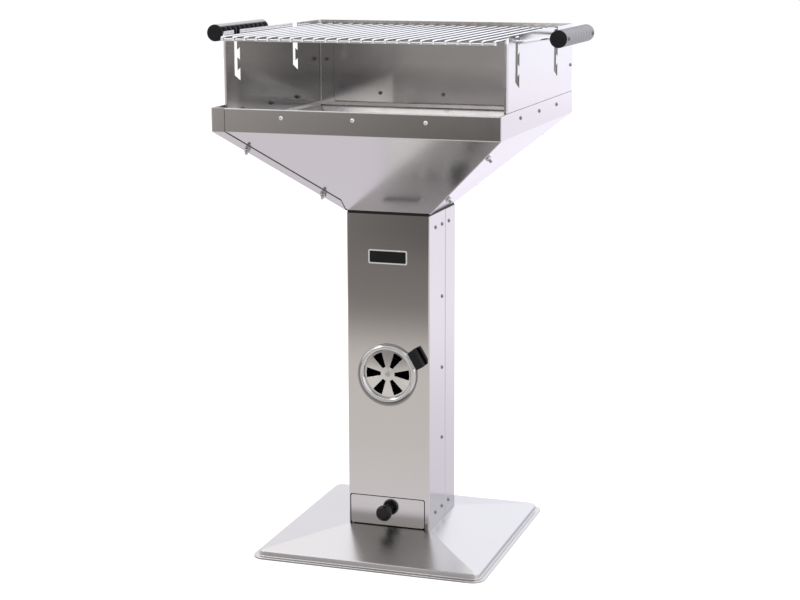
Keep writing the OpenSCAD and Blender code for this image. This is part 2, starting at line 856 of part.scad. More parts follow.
module drawer_front() {
    color(steel) difference() {
        translate([0, -column_half + column_t / 2, 0]) along_y(column_t)
            translate([drawer_x, drawer_z0 + drawer_h / 2]) rounded_square(drawer_w, drawer_h, drawer_corner_r);
        at_knob() screw_hole();
    }
}

module drawer_tray() {
    x0 = drawer_x - tray_w / 2;
    y0 = -column_half + column_t;
    color(steel) difference() {
        translate([x0, y0, tray_z0]) cube([tray_w, tray_l, tray_top - tray_z0]);
        translate([x0 + tray_t, y0 + tray_t, tray_z0 + tray_t])
            cube([tray_w - 2 * tray_t, tray_l - 2 * tray_t, tray_top - tray_z0]);
        at_knob() screw_hole();
    }
}

module drawer_knob() {
    head_r = knob_d / 2;
    color(black) at_knob() difference() {
        rotate_extrude() difference() {
            polygon([
                [0, 0], [knob_neck_r + 2, 0], [knob_neck_r, 3], [knob_neck_r, knob_l * 0.35], [head_r - 2, knob_l * 0.5],
                [head_r, knob_l * 0.62], [head_r, knob_l * 0.8], [head_r - 2.5, knob_l * 0.94], [head_r * 0.55, knob_l],
                [0, knob_l]
            ]);
        }
        translate([0, 0, -cut]) cylinder(h = knob_hole_l + cut, d = screw_d + 2 * thread_fit);
    }
}

// Its head lies inside the tray
module drawer_screw() {
    color(bright) at_knob() translate([0, 0, -column_t - tray_t]) mirror([0, 0, 1])
        dome_screw(column_t + tray_t + knob_hole_l - loose_fit);
}

module name_plate() {
    color(black) translate([0, -column_half - plate_t / 2, column_z1 - plate_drop]) along_y(plate_t)
        rounded_square(plate_w, plate_h, 3);
}

// --- cooking grate -------------------------------------------------------------------------------------------------

module grate_bars() {
    drop = bar_z - end_wire_z + 1;
    color(bright) for (i = [0:bars_n - 1]) translate([-grate_w / 2 + i * bar_pitch, grate_y, bar_z])
        wire([[0, -bar_reach, -drop], [0, -bar_reach, 0], [0, bar_reach, 0], [0, bar_reach, -drop]], bar_d);
}

module grate_end_wires() {
    reach = grate_w / 2 + bar_d / 2;
    color(bright) for (y = end_wire_y) wire([[-reach, y, end_wire_z], [reach, y, end_wire_z]], end_wire_d);
}

// Rod i across the grate, through both slots, with arms into the grips
module handle_rod(i) {
    end_x = grip_x + rod_in_grip;
    straight_x = grip_x - grip_d / 2 - arm_straight;
    half = [[arm_bend_x, rod_y[i], rod_z], [straight_x, arm_y[i], grip_z], [end_x, arm_y[i], grip_z]];
    color(bright) wire(concat(reversed([for (p = half) [-p[0], p[1], p[2]]]), half), rod_d);
}

module handle_rod_front() {
    handle_rod(0);
}

module handle_rod_back() {
    handle_rod(1);
}

// Ribbed sleeve along Y. side is 1 for the right-hand grip and -1 for the left-hand one.
module grip(side) {
    r = grip_d / 2;
    chamfer = grip_groove_w / 2;
    rib_points = [for (i = [0:grip_ribs - 1], p = [
        [r - grip_groove, i * rib_pitch],
        [r, i * rib_pitch + chamfer],
        [r, (i + 1) * rib_pitch - chamfer],
        [r - grip_groove, (i + 1) * rib_pitch]
    ]) p];
    color(black) difference() {
        translate([side * grip_x, grate_y - grip_l / 2, grip_z]) rotate([-90, 0, 0])
            rotate_extrude() polygon(concat([[0, 0]], rib_points, [[0, grip_l]]));
        for (y = arm_y) translate([side * grip_x, y, grip_z]) rotate([0, side * 90, 0]) {
            translate([0, 0, -grip_d]) cylinder(h = grip_d + rod_in_grip + loose_fit, d = rod_d + 2 * thread_fit);
            cylinder(h = grip_d, d = screw_d + 2 * thread_fit);
        }
    }
}

module grip_left() {
    grip(-1);
}

module grip_right() {
    grip(1);
}

module grip_caps() {
    r = grip_d / 2;
    bevel = 1;
    color(black) for (side = [-1, 1], front = [-1, 1])
        translate([side * grip_x, grate_y + front * grip_l / 2, grip_z]) rotate([-front * 90, 0, 0]) rotate_extrude()
            polygon([[0, 0], [r - grip_groove, 0], [r, bevel], [r, grip_cap_t - bevel], [r - bevel, grip_cap_t],
                     [0, grip_cap_t]]);
}

module grip_screws() {
    color(bright) for (side = [-1, 1], y = arm_y)
        translate([side * (grip_x + grip_d / 2), y, grip_z]) rotate([0, side * 90, 0]) dome_screw(grip_screw_l);
}

// --- charcoal grate ------------------------------------------------------------------------------------------------

module coal_frame() {
    h = coal_half;
    color(steel) wire([[-h, 0, coal_z], [-h, -h, coal_z], [h, -h, coal_z], [h, h, coal_z], [-h, h, coal_z],
                       [-h, 0, coal_z]], coal_wire_d);
}

module coal_bars() {
    color(steel) for (i = [0:coal_bars_n - 1]) {
        x = -coal_half + coal_wire_d + i * coal_step;
        wire([[x, -coal_half, coal_bar_z], [x, coal_half, coal_bar_z]], coal_bar_d);
    }
}

foot_plate();
foot_collar();
column_front();
column_back();
seam_screws();
collar_screws();
neck_collar();
bowl_front();
bowl_right();
bowl_back();
bowl_left();
bowl_bolts();
bowl_nuts();
rim_screws();
rim_nuts();
guard_left();
guard_back();
guard_right();
guard_bolts();
guard_nuts();
damper_seat();
damper_disc();
damper_rivet();
damper_grip();
drawer_front();
drawer_tray();
drawer_knob();
drawer_screw();
name_plate();
grate_bars();
grate_end_wires();
handle_rod_front();
handle_rod_back();
grip_left();
grip_right();
grip_caps();
grip_screws();
coal_frame();
coal_bars();
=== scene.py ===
"""Dresses the solid model of a pedestal barbecue: folded steel, grates, grips, air damper and ash drawer."""

import math

import bmesh
import bpy
from mathutils import Matrix, Vector


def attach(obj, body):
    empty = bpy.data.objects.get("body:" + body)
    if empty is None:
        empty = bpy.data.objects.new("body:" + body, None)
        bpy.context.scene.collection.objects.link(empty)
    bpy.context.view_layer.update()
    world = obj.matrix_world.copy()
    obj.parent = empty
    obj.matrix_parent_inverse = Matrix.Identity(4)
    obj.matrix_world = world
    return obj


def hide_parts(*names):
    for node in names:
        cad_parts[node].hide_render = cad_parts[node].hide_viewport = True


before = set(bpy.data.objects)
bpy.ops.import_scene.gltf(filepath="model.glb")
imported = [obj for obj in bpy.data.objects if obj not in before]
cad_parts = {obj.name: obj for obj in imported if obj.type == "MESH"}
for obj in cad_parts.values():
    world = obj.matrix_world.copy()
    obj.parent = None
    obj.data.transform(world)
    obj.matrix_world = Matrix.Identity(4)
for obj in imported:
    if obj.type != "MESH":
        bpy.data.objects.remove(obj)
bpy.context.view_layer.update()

bl_info = {
    "name": "Pedestal barbecue",
    "version": (1, 0, 0),
    "blender": (4, 5, 0),
    "location": "View3D > Sidebar > Barbecue",
    "description": "Builds the visible pieces and finishes of a pedestal barbecue round its solid model",
    "category": "Object",
}

MM = 0.001
RIGHT_ANGLE = math.pi / 2


# --- sizes and colours --------------------------------------------------------------------------------


def length(name, description, millimetres):
    looks = {"precision": 4, "unit": "LENGTH", "subtype": "DISTANCE"}
    return bpy.props.FloatProperty(name=name, description=description, default=millimetres * MM, **looks)


def angle(name, description, degrees):
    looks = {"unit": "ROTATION", "subtype": "ANGLE"}
    return bpy.props.FloatProperty(name=name, description=description, default=math.radians(degrees), **looks)


def ratio(name, description, default):
    return bpy.props.FloatProperty(name=name, description=description, default=default)


def count(name, description, default):
    return bpy.props.IntProperty(name=name, description=description, default=default, min=2)


def tint(name, description, default):
    looks = {"min": 0.0, "max": 1.0, "size": 3, "subtype": "COLOR"}
    return bpy.props.FloatVectorProperty(name=name, description=description, default=default, **looks)


class BARBECUE_PG_foot(bpy.types.PropertyGroup):
    """Pressed square foot"""

    width: length("Width", "Outer width of the floor flange", 446)
    height: length("Height", "Height of the foot's flat top", 37.5)
    skirt: length("Skirt", "Height of the skirt's upper edge", 12.5)
    flange: length("Flange", "Width of the floor flange", 10)
    lip: length("Lip", "Height of the floor flange", 3.5)
    corner: length("Corner", "Corner radius of the floor flange", 24)
    sheet: length("Sheet", "Thickness of the sheet", 2)


class BARBECUE_PG_column(bpy.types.PropertyGroup):
    """Square column of two folded sheets"""

    width: length("Width", "Outer width", 160)
    height: length("Height", "Height above the foot's flat top", 595)
    sheet: length("Sheet", "Thickness of the sheet", 1.5)
    bend: length("Bend", "Outer radius of the back corners", 3)
    seam: length("Seam", "Place of the seam, behind the column's middle", 15.5)
    lap: length("Lap", "Width of the back sheet's tongues under the front sheet", 33.5)
    proud: length("Proud", "Step from the front sheet's sides out to the back sheet's", 0.7)
    screw_line: length("Screw line", "Place of the seam screws, behind the column's middle", -3)
    screw_rows: count("Screw rows", "Screws in one seam", 5)
    screw_end: length("Screw end", "Distance of the end screws from the column's ends", 25)
    collar_screw: length("Collar screw", "Distance of the collar screws from the seam screws", 40)


class BARBECUE_PG_bowl(bpy.types.PropertyGroup):
    """Funnel-shaped fire bowl of four folded panels"""

    width: length("Width", "Outer width of the band", 523)
    gap: length("Gap", "Gap between the column and the bowl", 4)
    rise: length("Rise", "Height of the sloping part", 158)
    band: length("Band", "Height of the upright band", 41.5)
    sheet: length("Sheet", "Thickness of the sheet", 1.5)
    bend: length("Bend", "Outer radius of the folds", 2.5)
    lap: length("Lap", "Width of the flange that laps over the next panel", 25)
    hem: length("Hem", "Depth of the front panel's turned-in edge", 3)
    bolt_inset: length("Bolt inset", "Distance of the bolts from the bowl's corner", 14)
    bolt_low: length("Low bolt", "Height of the lower bolts above the bowl's edge", 36.5)
    bolt_high: length("High bolt", "Depth of the upper bolts under the band", 32.5)
    screw_pitch: length("Screw pitch", "Distance between the band's screws", 131)
    screw_drop: length("Screw drop", "Depth of the band's screws under its top", 14.5)


class BARBECUE_PG_guard(bpy.types.PropertyGroup):
    """Wind guard of three folded walls"""

    height: length("Height", "Height above the bowl", 129)
    dip: length("Dip", "Depth of the walls behind the band", 34)
    setback: length("Setback", "Distance of the side walls from the bowl's front", 49)
    sheet: length("Sheet", "Thickness of the sheet", 1.5)
    front_return: length("Front return", "Width of the side walls' turned-in front edge", 6.5)
    front_bend: length("Front bend", "Outer radius of the front fold", 5)
    bend: length("Bend", "Outer radius of the other folds", 3.5)
    corner: length("Corner", "Radius of the upper front corners", 8)
    flange: length("Flange", "Width of the flanges at the back corners", 30)
    bolt_drop: length("Bolt drop", "Depth of the corner bolts under the top", 78)
    bolt_inset: length("Bolt inset", "Distance of the corner bolts from the corner", 15)
    slot_front: length("Slot front", "Distance of the first slot from the front edge", 47.5)
    slot_pitch: length("Slot pitch", "Distance between the two slots", 276.3)
    slot_width: length("Slot width", "Width of a slot at its seats", 26.5)
    channel: length("Channel", "Width of a slot's upright channel", 14.5)
    seats: count("Seats", "Heights at which the grate can lie", 3)
    seat_depth: length("Seat depth", "Depth of the lowest seat under the top", 92)
    seat_pitch: length("Seat pitch", "Distance between seats", 37)
    seat_height: length("Seat height", "Height of a seat", 24.5)
    seat_slope: ratio("Seat slope", "Rise of a seat's floor for its depth", 0.46)
    seat_roof: length("Seat roof", "Rise of a seat's roof", 4.5)


class BARBECUE_PG_grate(bpy.types.PropertyGroup):
    """Cooking grate with its grips, and charcoal grate"""

    width: length("Width", "Distance between the outer bars", 492)
    length: length("Length", "Distance between the end wires", 476)
    bars: count("Bars", "Bars of the cooking grate", 24)
    bar: length("Bar", "Diameter of a bar", 4)
    end_wire: length("End wire", "Diameter of the end wires", 5)
    rod: length("Rod", "Diameter of the rods that carry the grips", 6)
    grip_reach: length("Grip reach", "Distance of the grips from the middle", 321)
    grip_rise: length("Grip rise", "Height of the grips over the rods", 4)
    grip_length: length("Grip length", "Length of a grip between its caps", 211)
    grip_width: length("Grip width", "Diameter of a grip", 30.6)
    ribs: count("Ribs", "Ribs of a grip", 10)
    groove: length("Groove", "Depth of the grooves between the ribs", 0.7)
    groove_width: length("Groove width", "Width of the grooves between the ribs", 1.6)
    cap: length("Cap", "Thickness of the grips' end caps", 2.5)
    arm: length("Arm", "Straight length of a rod beside its grip", 8)
    coal_rise: length("Coal rise", "Height of the charcoal grate above the bowl's lower edge", 64)
    coal_wire: length("Coal wire", "Diameter of the charcoal grate's frame", 7)
    coal_bar: length("Coal bar", "Diameter of the charcoal grate's bars", 5)
    coal_bars: count("Coal bars", "Bars of the charcoal grate", 13)


class BARBECUE_PG_damper(bpy.types.PropertyGroup):
    """Turning air damper"""

    rise: length("Rise", "Height of the damper's middle above the foot", 297.5)
    radius: length("Radius", "Outer radius of the ring", 56)
    ring: length("Ring", "Width of the ring", 11)
    ring_height: length("Ring height", "Height of the ring above the disc", 8.5)
    sheet: length("Sheet", "Thickness of the sheet", 1.2)
    dome: length("Dome", "Rise of the disc's middle", 1.6)
    vents: count("Vents", "Openings in the disc", 6)
    vent_angle: angle("Vent angle", "Angle that one opening takes", 27)
    vent_inner: length("Vent inner", "Inner radius of the openings", 13.5)
    vent_outer: length("Vent outer", "Outer radius of the openings", 42)
    grip_angle: angle("Grip angle", "Place of the grip, up from the right", 30)
    grip_length: length("Grip length", "Length of the grip along the ring", 36)
    grip_width: length("Grip width", "Width of the grip across the ring", 16.5)
    grip_height: length("Grip height", "Height of the grip above its tab", 14)


class BARBECUE_PG_drawer(bpy.types.PropertyGroup):
    """Ash drawer, its knob and the name plate"""

    width: length("Width", "Width of the drawer's front", 146)
    height: length("Height", "Height of the drawer's front", 55.7)
    lift: length("Lift", "Height of the drawer's front above the foot", 2)
    centre: length("Centre", "Place of the drawer's middle, to the right of the column's", -3.2)
    knob_width: length("Knob width", "Diameter of the knob", 30)
    knob_length: length("Knob length", "Length of the knob", 28)
    plate_width: length("Plate width", "Width of the name plate", 75)
    plate_height: length("Plate height", "Height of the name plate", 26.5)
    plate_drop: length("Plate drop", "Depth of the plate's middle under the column's top", 78.5)
    plate_border: length("Plate border", "Width of the plate's bright border", 2.6)


class BARBECUE_PG_fixings(bpy.types.PropertyGroup):
    """Screws, bolts and nuts"""

    screw: length("Screw", "Diameter of the screws", 4)
    screw_head: length("Screw head", "Diameter of the screw heads", 8)
    screw_dome: length("Screw dome", "Height of the screw heads", 2.4)
    screw_nut: length("Screw nut", "Width of the small nuts across their flats", 7)
    screw_nut_height: length("Screw nut height", "Height of the small nuts", 3.2)
    screw_tail: length("Screw tail", "Length of the screws past their nuts", 3.5)
    bolt: length("Bolt", "Diameter of the bolts", 6)
    bolt_nut: length("Bolt nut", "Width of the large nuts across their flats", 10)
    bolt_head: length("Bolt head", "Height of the bolt heads", 4)
    bolt_nut_height: length("Bolt nut height", "Height of the large nuts", 5)
    bolt_tail: length("Bolt tail", "Length of the bolts past their nuts", 6)


class BARBECUE_PG_finish(bpy.types.PropertyGroup):
    """Colours"""

    sheet: tint("Sheet", "Polished stainless sheet", (0.53, 0.518, 0.51))
    # The foot's and the guard's colours are brighter than the sheet's: painted shade brings them down to it,
    # and where they stay brighter it is painted reflection.
    foot: tint("Foot", "Sheet of the foot", (0.66, 0.645, 0.635))
    guard: tint("Guard", "Sheet of the wind guard", (0.93, 0.909, 0.895))
    mill: tint("Mill", "Unpolished inside of the bowl", (0.66, 0.64, 0.62))
    # The cut finish also paints shade on the foot collar's returns, beside the drawer.
    cut: tint("Cut", "Cut edges of the sheets", (0.2, 0.19, 0.18))
    wire: tint("Wire", "Bright drawn wire and pressings", (0.62, 0.615, 0.61))
    fixing: tint("Fixing", "Screws, bolts and nuts", (0.6, 0.59, 0.58))
    rivet: tint("Rivet", "Rivet of the air damper", (0.44, 0.435, 0.43))
    # Soot on the drawer's tray; on the neck collar the same dark steel is painted shade in the gap under the
    # bowl.
    sooted: tint("Sooted", "Steel that the fire has darkened", (0.035, 0.033, 0.03))
    blackened: tint("Blackened", "Screws in the grips", (0.14, 0.14, 0.145))
    grate: tint("Grate", "Charcoal grate", (0.36, 0.35, 0.34))
    grip: tint("Grip", "Ribbed grips", (0.012, 0.012, 0.014))
    knob: tint("Knob", "Glossy knob", (0.006, 0.006, 0.0065))
    plate: tint("Plate", "Field of the name plate", (0.008, 0.008, 0.008))
    border: tint("Border", "Border of the name plate", (0.62, 0.62, 0.61))


GROUPS = {
    "foot": BARBECUE_PG_foot,
    "column": BARBECUE_PG_column,
    "bowl": BARBECUE_PG_bowl,
    "guard": BARBECUE_PG_guard,
    "grate": BARBECUE_PG_grate,
    "damper": BARBECUE_PG_damper,
    "drawer": BARBECUE_PG_drawer,
    "fixings": BARBECUE_PG_fixings,
    "finish": BARBECUE_PG_finish,
}


class BARBECUE_PG_all(bpy.types.PropertyGroup):
    """All sizes and colours"""

    __annotations__ = {name: bpy.props.PointerProperty(type=group) for name, group in GROUPS.items()}


class Plan:
    """The sizes, and the places that are worked out from them. X points right, Y to the back and Z up."""

    # WELD is the hairline between pieces that touch, and LOOSE the play between pieces that move.
    WELD = 0.05 * MM
    LOOSE = 0.3 * MM
    HEM_BEND = 1.8 * MM
    KNOB_RISE = 2.5 * MM

    def __init__(self):
        sizes = bpy.context.scene.barbecue
        for name in GROUPS:
            setattr(self, name, getattr(sizes, name))
        foot, column, bowl, guard, grate = self.foot, self.column, self.bowl, self.guard, self.grate

        self.foot_half = foot.width / 2
        self.column_half = column.width / 2
        self.column_top = foot.height + column.height

        self.bowl_half = bowl.width / 2
        self.bowl_bottom = self.column_top + bowl.gap
        self.band_bottom = self.bowl_bottom + bowl.rise
        self.band_top = self.band_bottom + bowl.band
        self.bowl_run = (self.bowl_half - self.column_half) / bowl.rise
        self.bowl_tilt = math.atan(1 / self.bowl_run)

        self.guard_half = self.bowl_half - bowl.sheet
        self.guard_front = -self.guard_half + guard.setback
        self.guard_bottom = self.band_top - guard.dip
        self.guard_top = self.band_top + guard.height
        self.slots = [self.guard_front + guard.slot_front + i * guard.slot_pitch for i in (0, 1)]
        self.lowest_seat = self.guard_top - guard.seat_depth

        gap = grate.rod / 2 + self.LOOSE
        self.rod_y = [y + guard.slot_width - gap for y in self.slots]
        over_seat = gap * (guard.seat_slope + math.hypot(1, guard.seat_slope))
        self.rod_z = self.lowest_seat + (guard.seats - 1) * guard.seat_pitch + over_seat
        self.bar_z = self.rod_z + grate.rod / 2 + grate.bar / 2 + self.WELD
        self.end_wire_z = self.bar_z - grate.bar / 2 - grate.end_wire / 2 - self.WELD
        self.grate_y = sum(self.rod_y) / 2
        self.grip_z = self.rod_z + grate.grip_rise
        self.rib_pitch = grate.grip_length / grate.ribs
        arm = grate.grip_length / 2 - self.rib_pitch / 2
        self.arm_y = [self.grate_y - arm, self.grate_y + arm]

        self.damper_z = foot.height + self.damper.rise
        self.knob_z = foot.height + self.drawer.lift + self.drawer.height / 2 + self.KNOB_RISE

    def bowl_at(self, sheet, z):
        """Half-width at height z of the bowl's outer face, or of the face that many sheets further out."""
        bend = self.bowl.bend + sheet * self.bowl.sheet
        centre_w = self.bowl_half - self.bowl.bend
        centre_z = self.band_bottom + self.bowl.bend * math.tan((RIGHT_ANGLE - self.bowl_tilt) / 2)
        if z >= centre_z:
            return centre_w + bend
        if z > centre_z - bend * math.cos(self.bowl_tilt):
            return centre_w + math.sqrt(bend * bend - (centre_z - z) ** 2)
        thick = self.bowl.sheet / math.sin(self.bowl_tilt)
        return self.column_half + (z - self.bowl_bottom) * self.bowl_run + sheet * thick


# --- node trees ---------------------------------------------------------------------------------------


class Wire:
    """A value in a node tree. Arithmetic on it adds Math nodes."""

    def __init__(self, tree, socket):
        self.tree, self.socket = tree, socket

    def _math(self, operation, *values):
        return self.tree.node("ShaderNodeMath", {"operation": operation}, dict(enumerate(values)))

    def __add__(self, other):
        return self._math("ADD", self, other)

    def __sub__(self, other):
        return self._math("SUBTRACT", self, other)

    def __rsub__(self, other):
        return self._math("SUBTRACT", other, self)

    def __abs__(self):
        return self._math("ABSOLUTE", self)

    def larger(self, other):
        return self._math("MAXIMUM", self, other)

    def __mul__(self, other):
        return self._math("MULTIPLY", self, other)

    __radd__, __rmul__ = __add__, __mul__

    def step(self, low, high):
        """0 below low, 1 above high and smooth in between."""
        inputs = {"Value": self, "From Min": low, "From Max": high}
        return self.tree.node("ShaderNodeMapRange", {"interpolation_type": "SMOOTHSTEP"}, inputs)


class Tree:
    """A node tree that is being built."""

    def __init__(self, tree):
        self.tree = tree
        tree.nodes.clear()

    def node(self, kind, settings=None, inputs=None, output=0):
        """Adds a node: its settings first, then its inputs. Returns the output that is asked for."""
        made = self.tree.nodes.new(kind)
        for name, value in (settings or {}).items():
            setattr(made, name, value)
        for name, value in (inputs or {}).items():
            self.join(made.inputs[name], value)
        return Wire(self, made.outputs[output]) if made.outputs else None

    def join(self, socket, value):
        """Links a wire to the socket, or sets the socket to a plain value."""
        if isinstance(value, Wire):
            self.tree.links.new(value.socket, socket)
        elif hasattr(value, "__len__") and len(socket.default_value) == 4 and len(value) == 3:
            socket.default_value = (*value, 1.0)
        else:
            socket.default_value = value


class Finish(Tree):
    """A material or world tree."""

    def __init__(self, owner):
        owner.use_nodes = True
        self.owner = owner
        super().__init__(owner.node_tree)

    def split(self, vector):
        parts = self.node("ShaderNodeSeparateXYZ", None, {0: vector})
        return [Wire(self, socket) for socket in parts.socket.node.outputs]

    def coordinates(self):
        """The object coordinates x, y and z, in metres."""
        return self.split(self.node("ShaderNodeTexCoord", output="Object"))

    def noise(self, scale, detail=2.0, roughness=0.5):
        """Noise with this many cells in a metre, either one number or one for each direction."""
        scale = scale if isinstance(scale, tuple) else (scale,) * 3
        here = self.node("ShaderNodeTexCoord", output="Object")
        here = self.node("ShaderNodeMapping", {"vector_type": "POINT"}, {"Vector": here, "Scale": scale})
        inputs = {"Vector": here, "Scale": 1.0, "Detail": detail, "Roughness": roughness}
        return self.node("ShaderNodeTexNoise", None, inputs)

    def blend(self, factor, a, b):
        """Colour a where factor is 0 and b where it is 1. Its sockets share names, so they go by number."""
        return self.node("ShaderNodeMix", {"data_type": "RGBA"}, {0: factor, 6: a, 7: b}, output=2)

    def rays(self):
        """1 for what the camera sees, and 1 for what a mirror sees."""
        path = self.node("ShaderNodeLightPath").socket.node
        return Wire(self, path.outputs["Is Camera Ray"]), Wire(self, path.outputs["Is Glossy Ray"])

    def glow(self, colour, strength=1.0):
        return self.node("ShaderNodeEmission", None, {"Color": colour, "Strength": strength})

    def bump(self, height, distance, strength):
        inputs = {"Height": height, "Distance": distance, "Strength": strength}
        return self.node("ShaderNodeBump", None, inputs)

    def surface(self, tone, rough, normal=None, **fixed):
        """Principled surface: tone, rough and normal may vary over it, and fixed sockets hold constants."""
        inputs = {"Base Color": tone, "Roughness": rough}
        if normal:
            inputs["Normal"] = normal
        inputs.update((name.replace("_", " "), value) for name, value in fixed.items())
        shader = self.node("ShaderNodeBsdfPrincipled", None, inputs)
        self.node("ShaderNodeOutputMaterial", None, {"Surface": shader})
        return self.owner


class Layout(Tree):
    """A Geometry Nodes tree with named inputs, which ends in plain faces of one finish."""

    SOCKETS = {
        "Points": "NodeSocketGeometry",
        "Item": "NodeSocketObject",
        "Count": "NodeSocketInt",
        "Seed": "NodeSocketInt",
        "Start": "NodeSocketVector",
        "Step": "NodeSocketVector",
        "Finish": "NodeSocketMaterial",
    }

    def __init__(self, name, inputs):
        super().__init__(bpy.data.node_groups.new(name, "GeometryNodeTree"))
        for entry in inputs:
            self.tree.interface.new_socket(entry, in_out="INPUT", socket_type=self.SOCKETS[entry])
        self.tree.interface.new_socket("Faces", in_out="OUTPUT", socket_type="NodeSocketGeometry")
        self.tree.is_modifier = True
        self.group = self.tree.nodes.new("NodeGroupInput")

    def given(self, name):
        return Wire(self, self.group.outputs[name])

    def item(self):
        inputs = {"Object": self.given("Item")}
        return self.node("GeometryNodeObjectInfo", {"transform_space": "ORIGINAL"}, inputs, output="Geometry")

    def end(self, instances):
        faces = self.node("GeometryNodeRealizeInstances", None, {"Geometry": instances})
        inputs = {"Geometry": faces, "Material": self.given("Finish")}
        faces = self.node("GeometryNodeSetMaterial", None, inputs)
        self.node("NodeGroupOutput", None, {0: faces})
        return self.tree


def make_row_layout():
    """The item, repeated Count times from Start on, Step apart."""
    row = Layout("row", ("Points", "Item", "Count", "Start", "Step", "Finish"))
    line = {"Count": row.given("Count"), "Start Location": row.given("Start"), "Offset": row.given("Step")}
    points = row.node("GeometryNodeMeshLine", {"mode": "OFFSET"}, line)
    return row.end(row.node("GeometryNodeInstanceOnPoints", None, {"Points": points, "Instance": row.item()}))


def make_fixing_layout():
    """The item on every point, its Z along the point's facing and turned about it by chance."""
    spots = Layout("fixings", ("Points", "Item", "Seed", "Finish"))
    facing = spots.node("GeometryNodeInputNamedAttribute", {"data_type": "FLOAT_VECTOR"}, {"Name": "facing"})
    upright = spots.node("FunctionNodeAlignRotationToVector", {"axis": "Z"}, {"Vector": facing})
    full_turn = {3: 2 * math.pi, "Seed": spots.given("Seed")}
    chance = spots.node("FunctionNodeRandomValue", {"data_type": "FLOAT"}, full_turn, output=1)
    spin = spots.node("ShaderNodeCombineXYZ", None, {"Z": chance})
    spin = spots.node("FunctionNodeEulerToRotation", None, {"Euler": spin})
    turned = spots.node("FunctionNodeRotateRotation", {"rotation_space": "LOCAL"}, {0: upright, 1: spin})
    inputs = {"Points": spots.given("Points"), "Instance": spots.item(), "Rotation": turned}
    return spots.end(spots.node("GeometryNodeInstanceOnPoints", None, inputs))


LAYOUTS = {"row": make_row_layout, "fixings": make_fixing_layout}


def in_scene(obj):
    """The object, now in the scene."""
    bpy.context.scene.collection.objects.link(obj)
    return obj


def laid_out(name, layout, item, key, points=(), **inputs):
    """Mesh of the item repeated by a layout. points are pairs of a place and the direction that it faces."""
    tree = bpy.data.node_groups.get(layout) or LAYOUTS[layout]()
    start = bpy.data.meshes.new(name)
    start.from_pydata([place for place, _ in points], [], [])
    facing = start.attributes.new("facing", "FLOAT_VECTOR", "POINT")
    for entry, (_, direction) in zip(facing.data, points):
        entry.vector = direction
    carrier = in_scene(bpy.data.objects.new(name + "_places", start))
    pattern = in_scene(bpy.data.objects.new(name + "_item", item))
    modifier = carrier.modifiers.new(layout, "NODES")
    modifier.node_group = tree
    inputs.update(Item=pattern, Finish=finish_named(key))
    for socket in tree.interface.items_tree:
        if socket.in_out == "INPUT" and socket.name in inputs:
            modifier[socket.identifier] = inputs[socket.name]
    depsgraph = bpy.context.evaluated_depsgraph_get()
    mesh = bpy.data.meshes.new_from_object(carrier.evaluated_get(depsgraph), depsgraph=depsgraph)
    mesh.name = name
    carrier.modifiers.clear()
    for obj in (carrier, pattern):
        bpy.data.objects.remove(obj)
    return mesh


# --- finishes -----------------------------------------------------------------------------------------


def darker(colour, level):
    return [c * level for c in colour]


def painted_light_on_foot(f):
    """Painted light and shade on the foot: painted shade on the skirt and toe along the front, and a little
    elsewhere, but not on the front slope right of its middle, which stays lighter as a painted reflection."""
    p = Plan()
    x, y, z = f.coordinates()
    front_level, general_level = 0.6, 0.28
    # The skirt and toe along the front get painted shade, for the shaded floor that they mirror.
    skirt = (z - p.foot.lip).step(0.3 * MM, 1.3 * MM) * (p.foot.skirt - z).step(-1.2 * MM, 0.4 * MM)
    toe = (p.foot.lip - z).step(1.2 * MM, 2.2 * MM)
    front = (0.0 - y - p.foot_half + p.foot.flange).step(-3.5 * MM, -1.5 * MM)
    front_face = (0.0 - y - x).step(0.0, 2 * MM)
    # clear is a painted reflection: the front slope right of the middle stays lighter.
    clear = front_face * x.step(20 * MM, 105 * MM) * (1.0 - x.step(130 * MM, 180 * MM))
    return (skirt.larger(toe) * front * front_level).larger(general_level - clear * general_level)


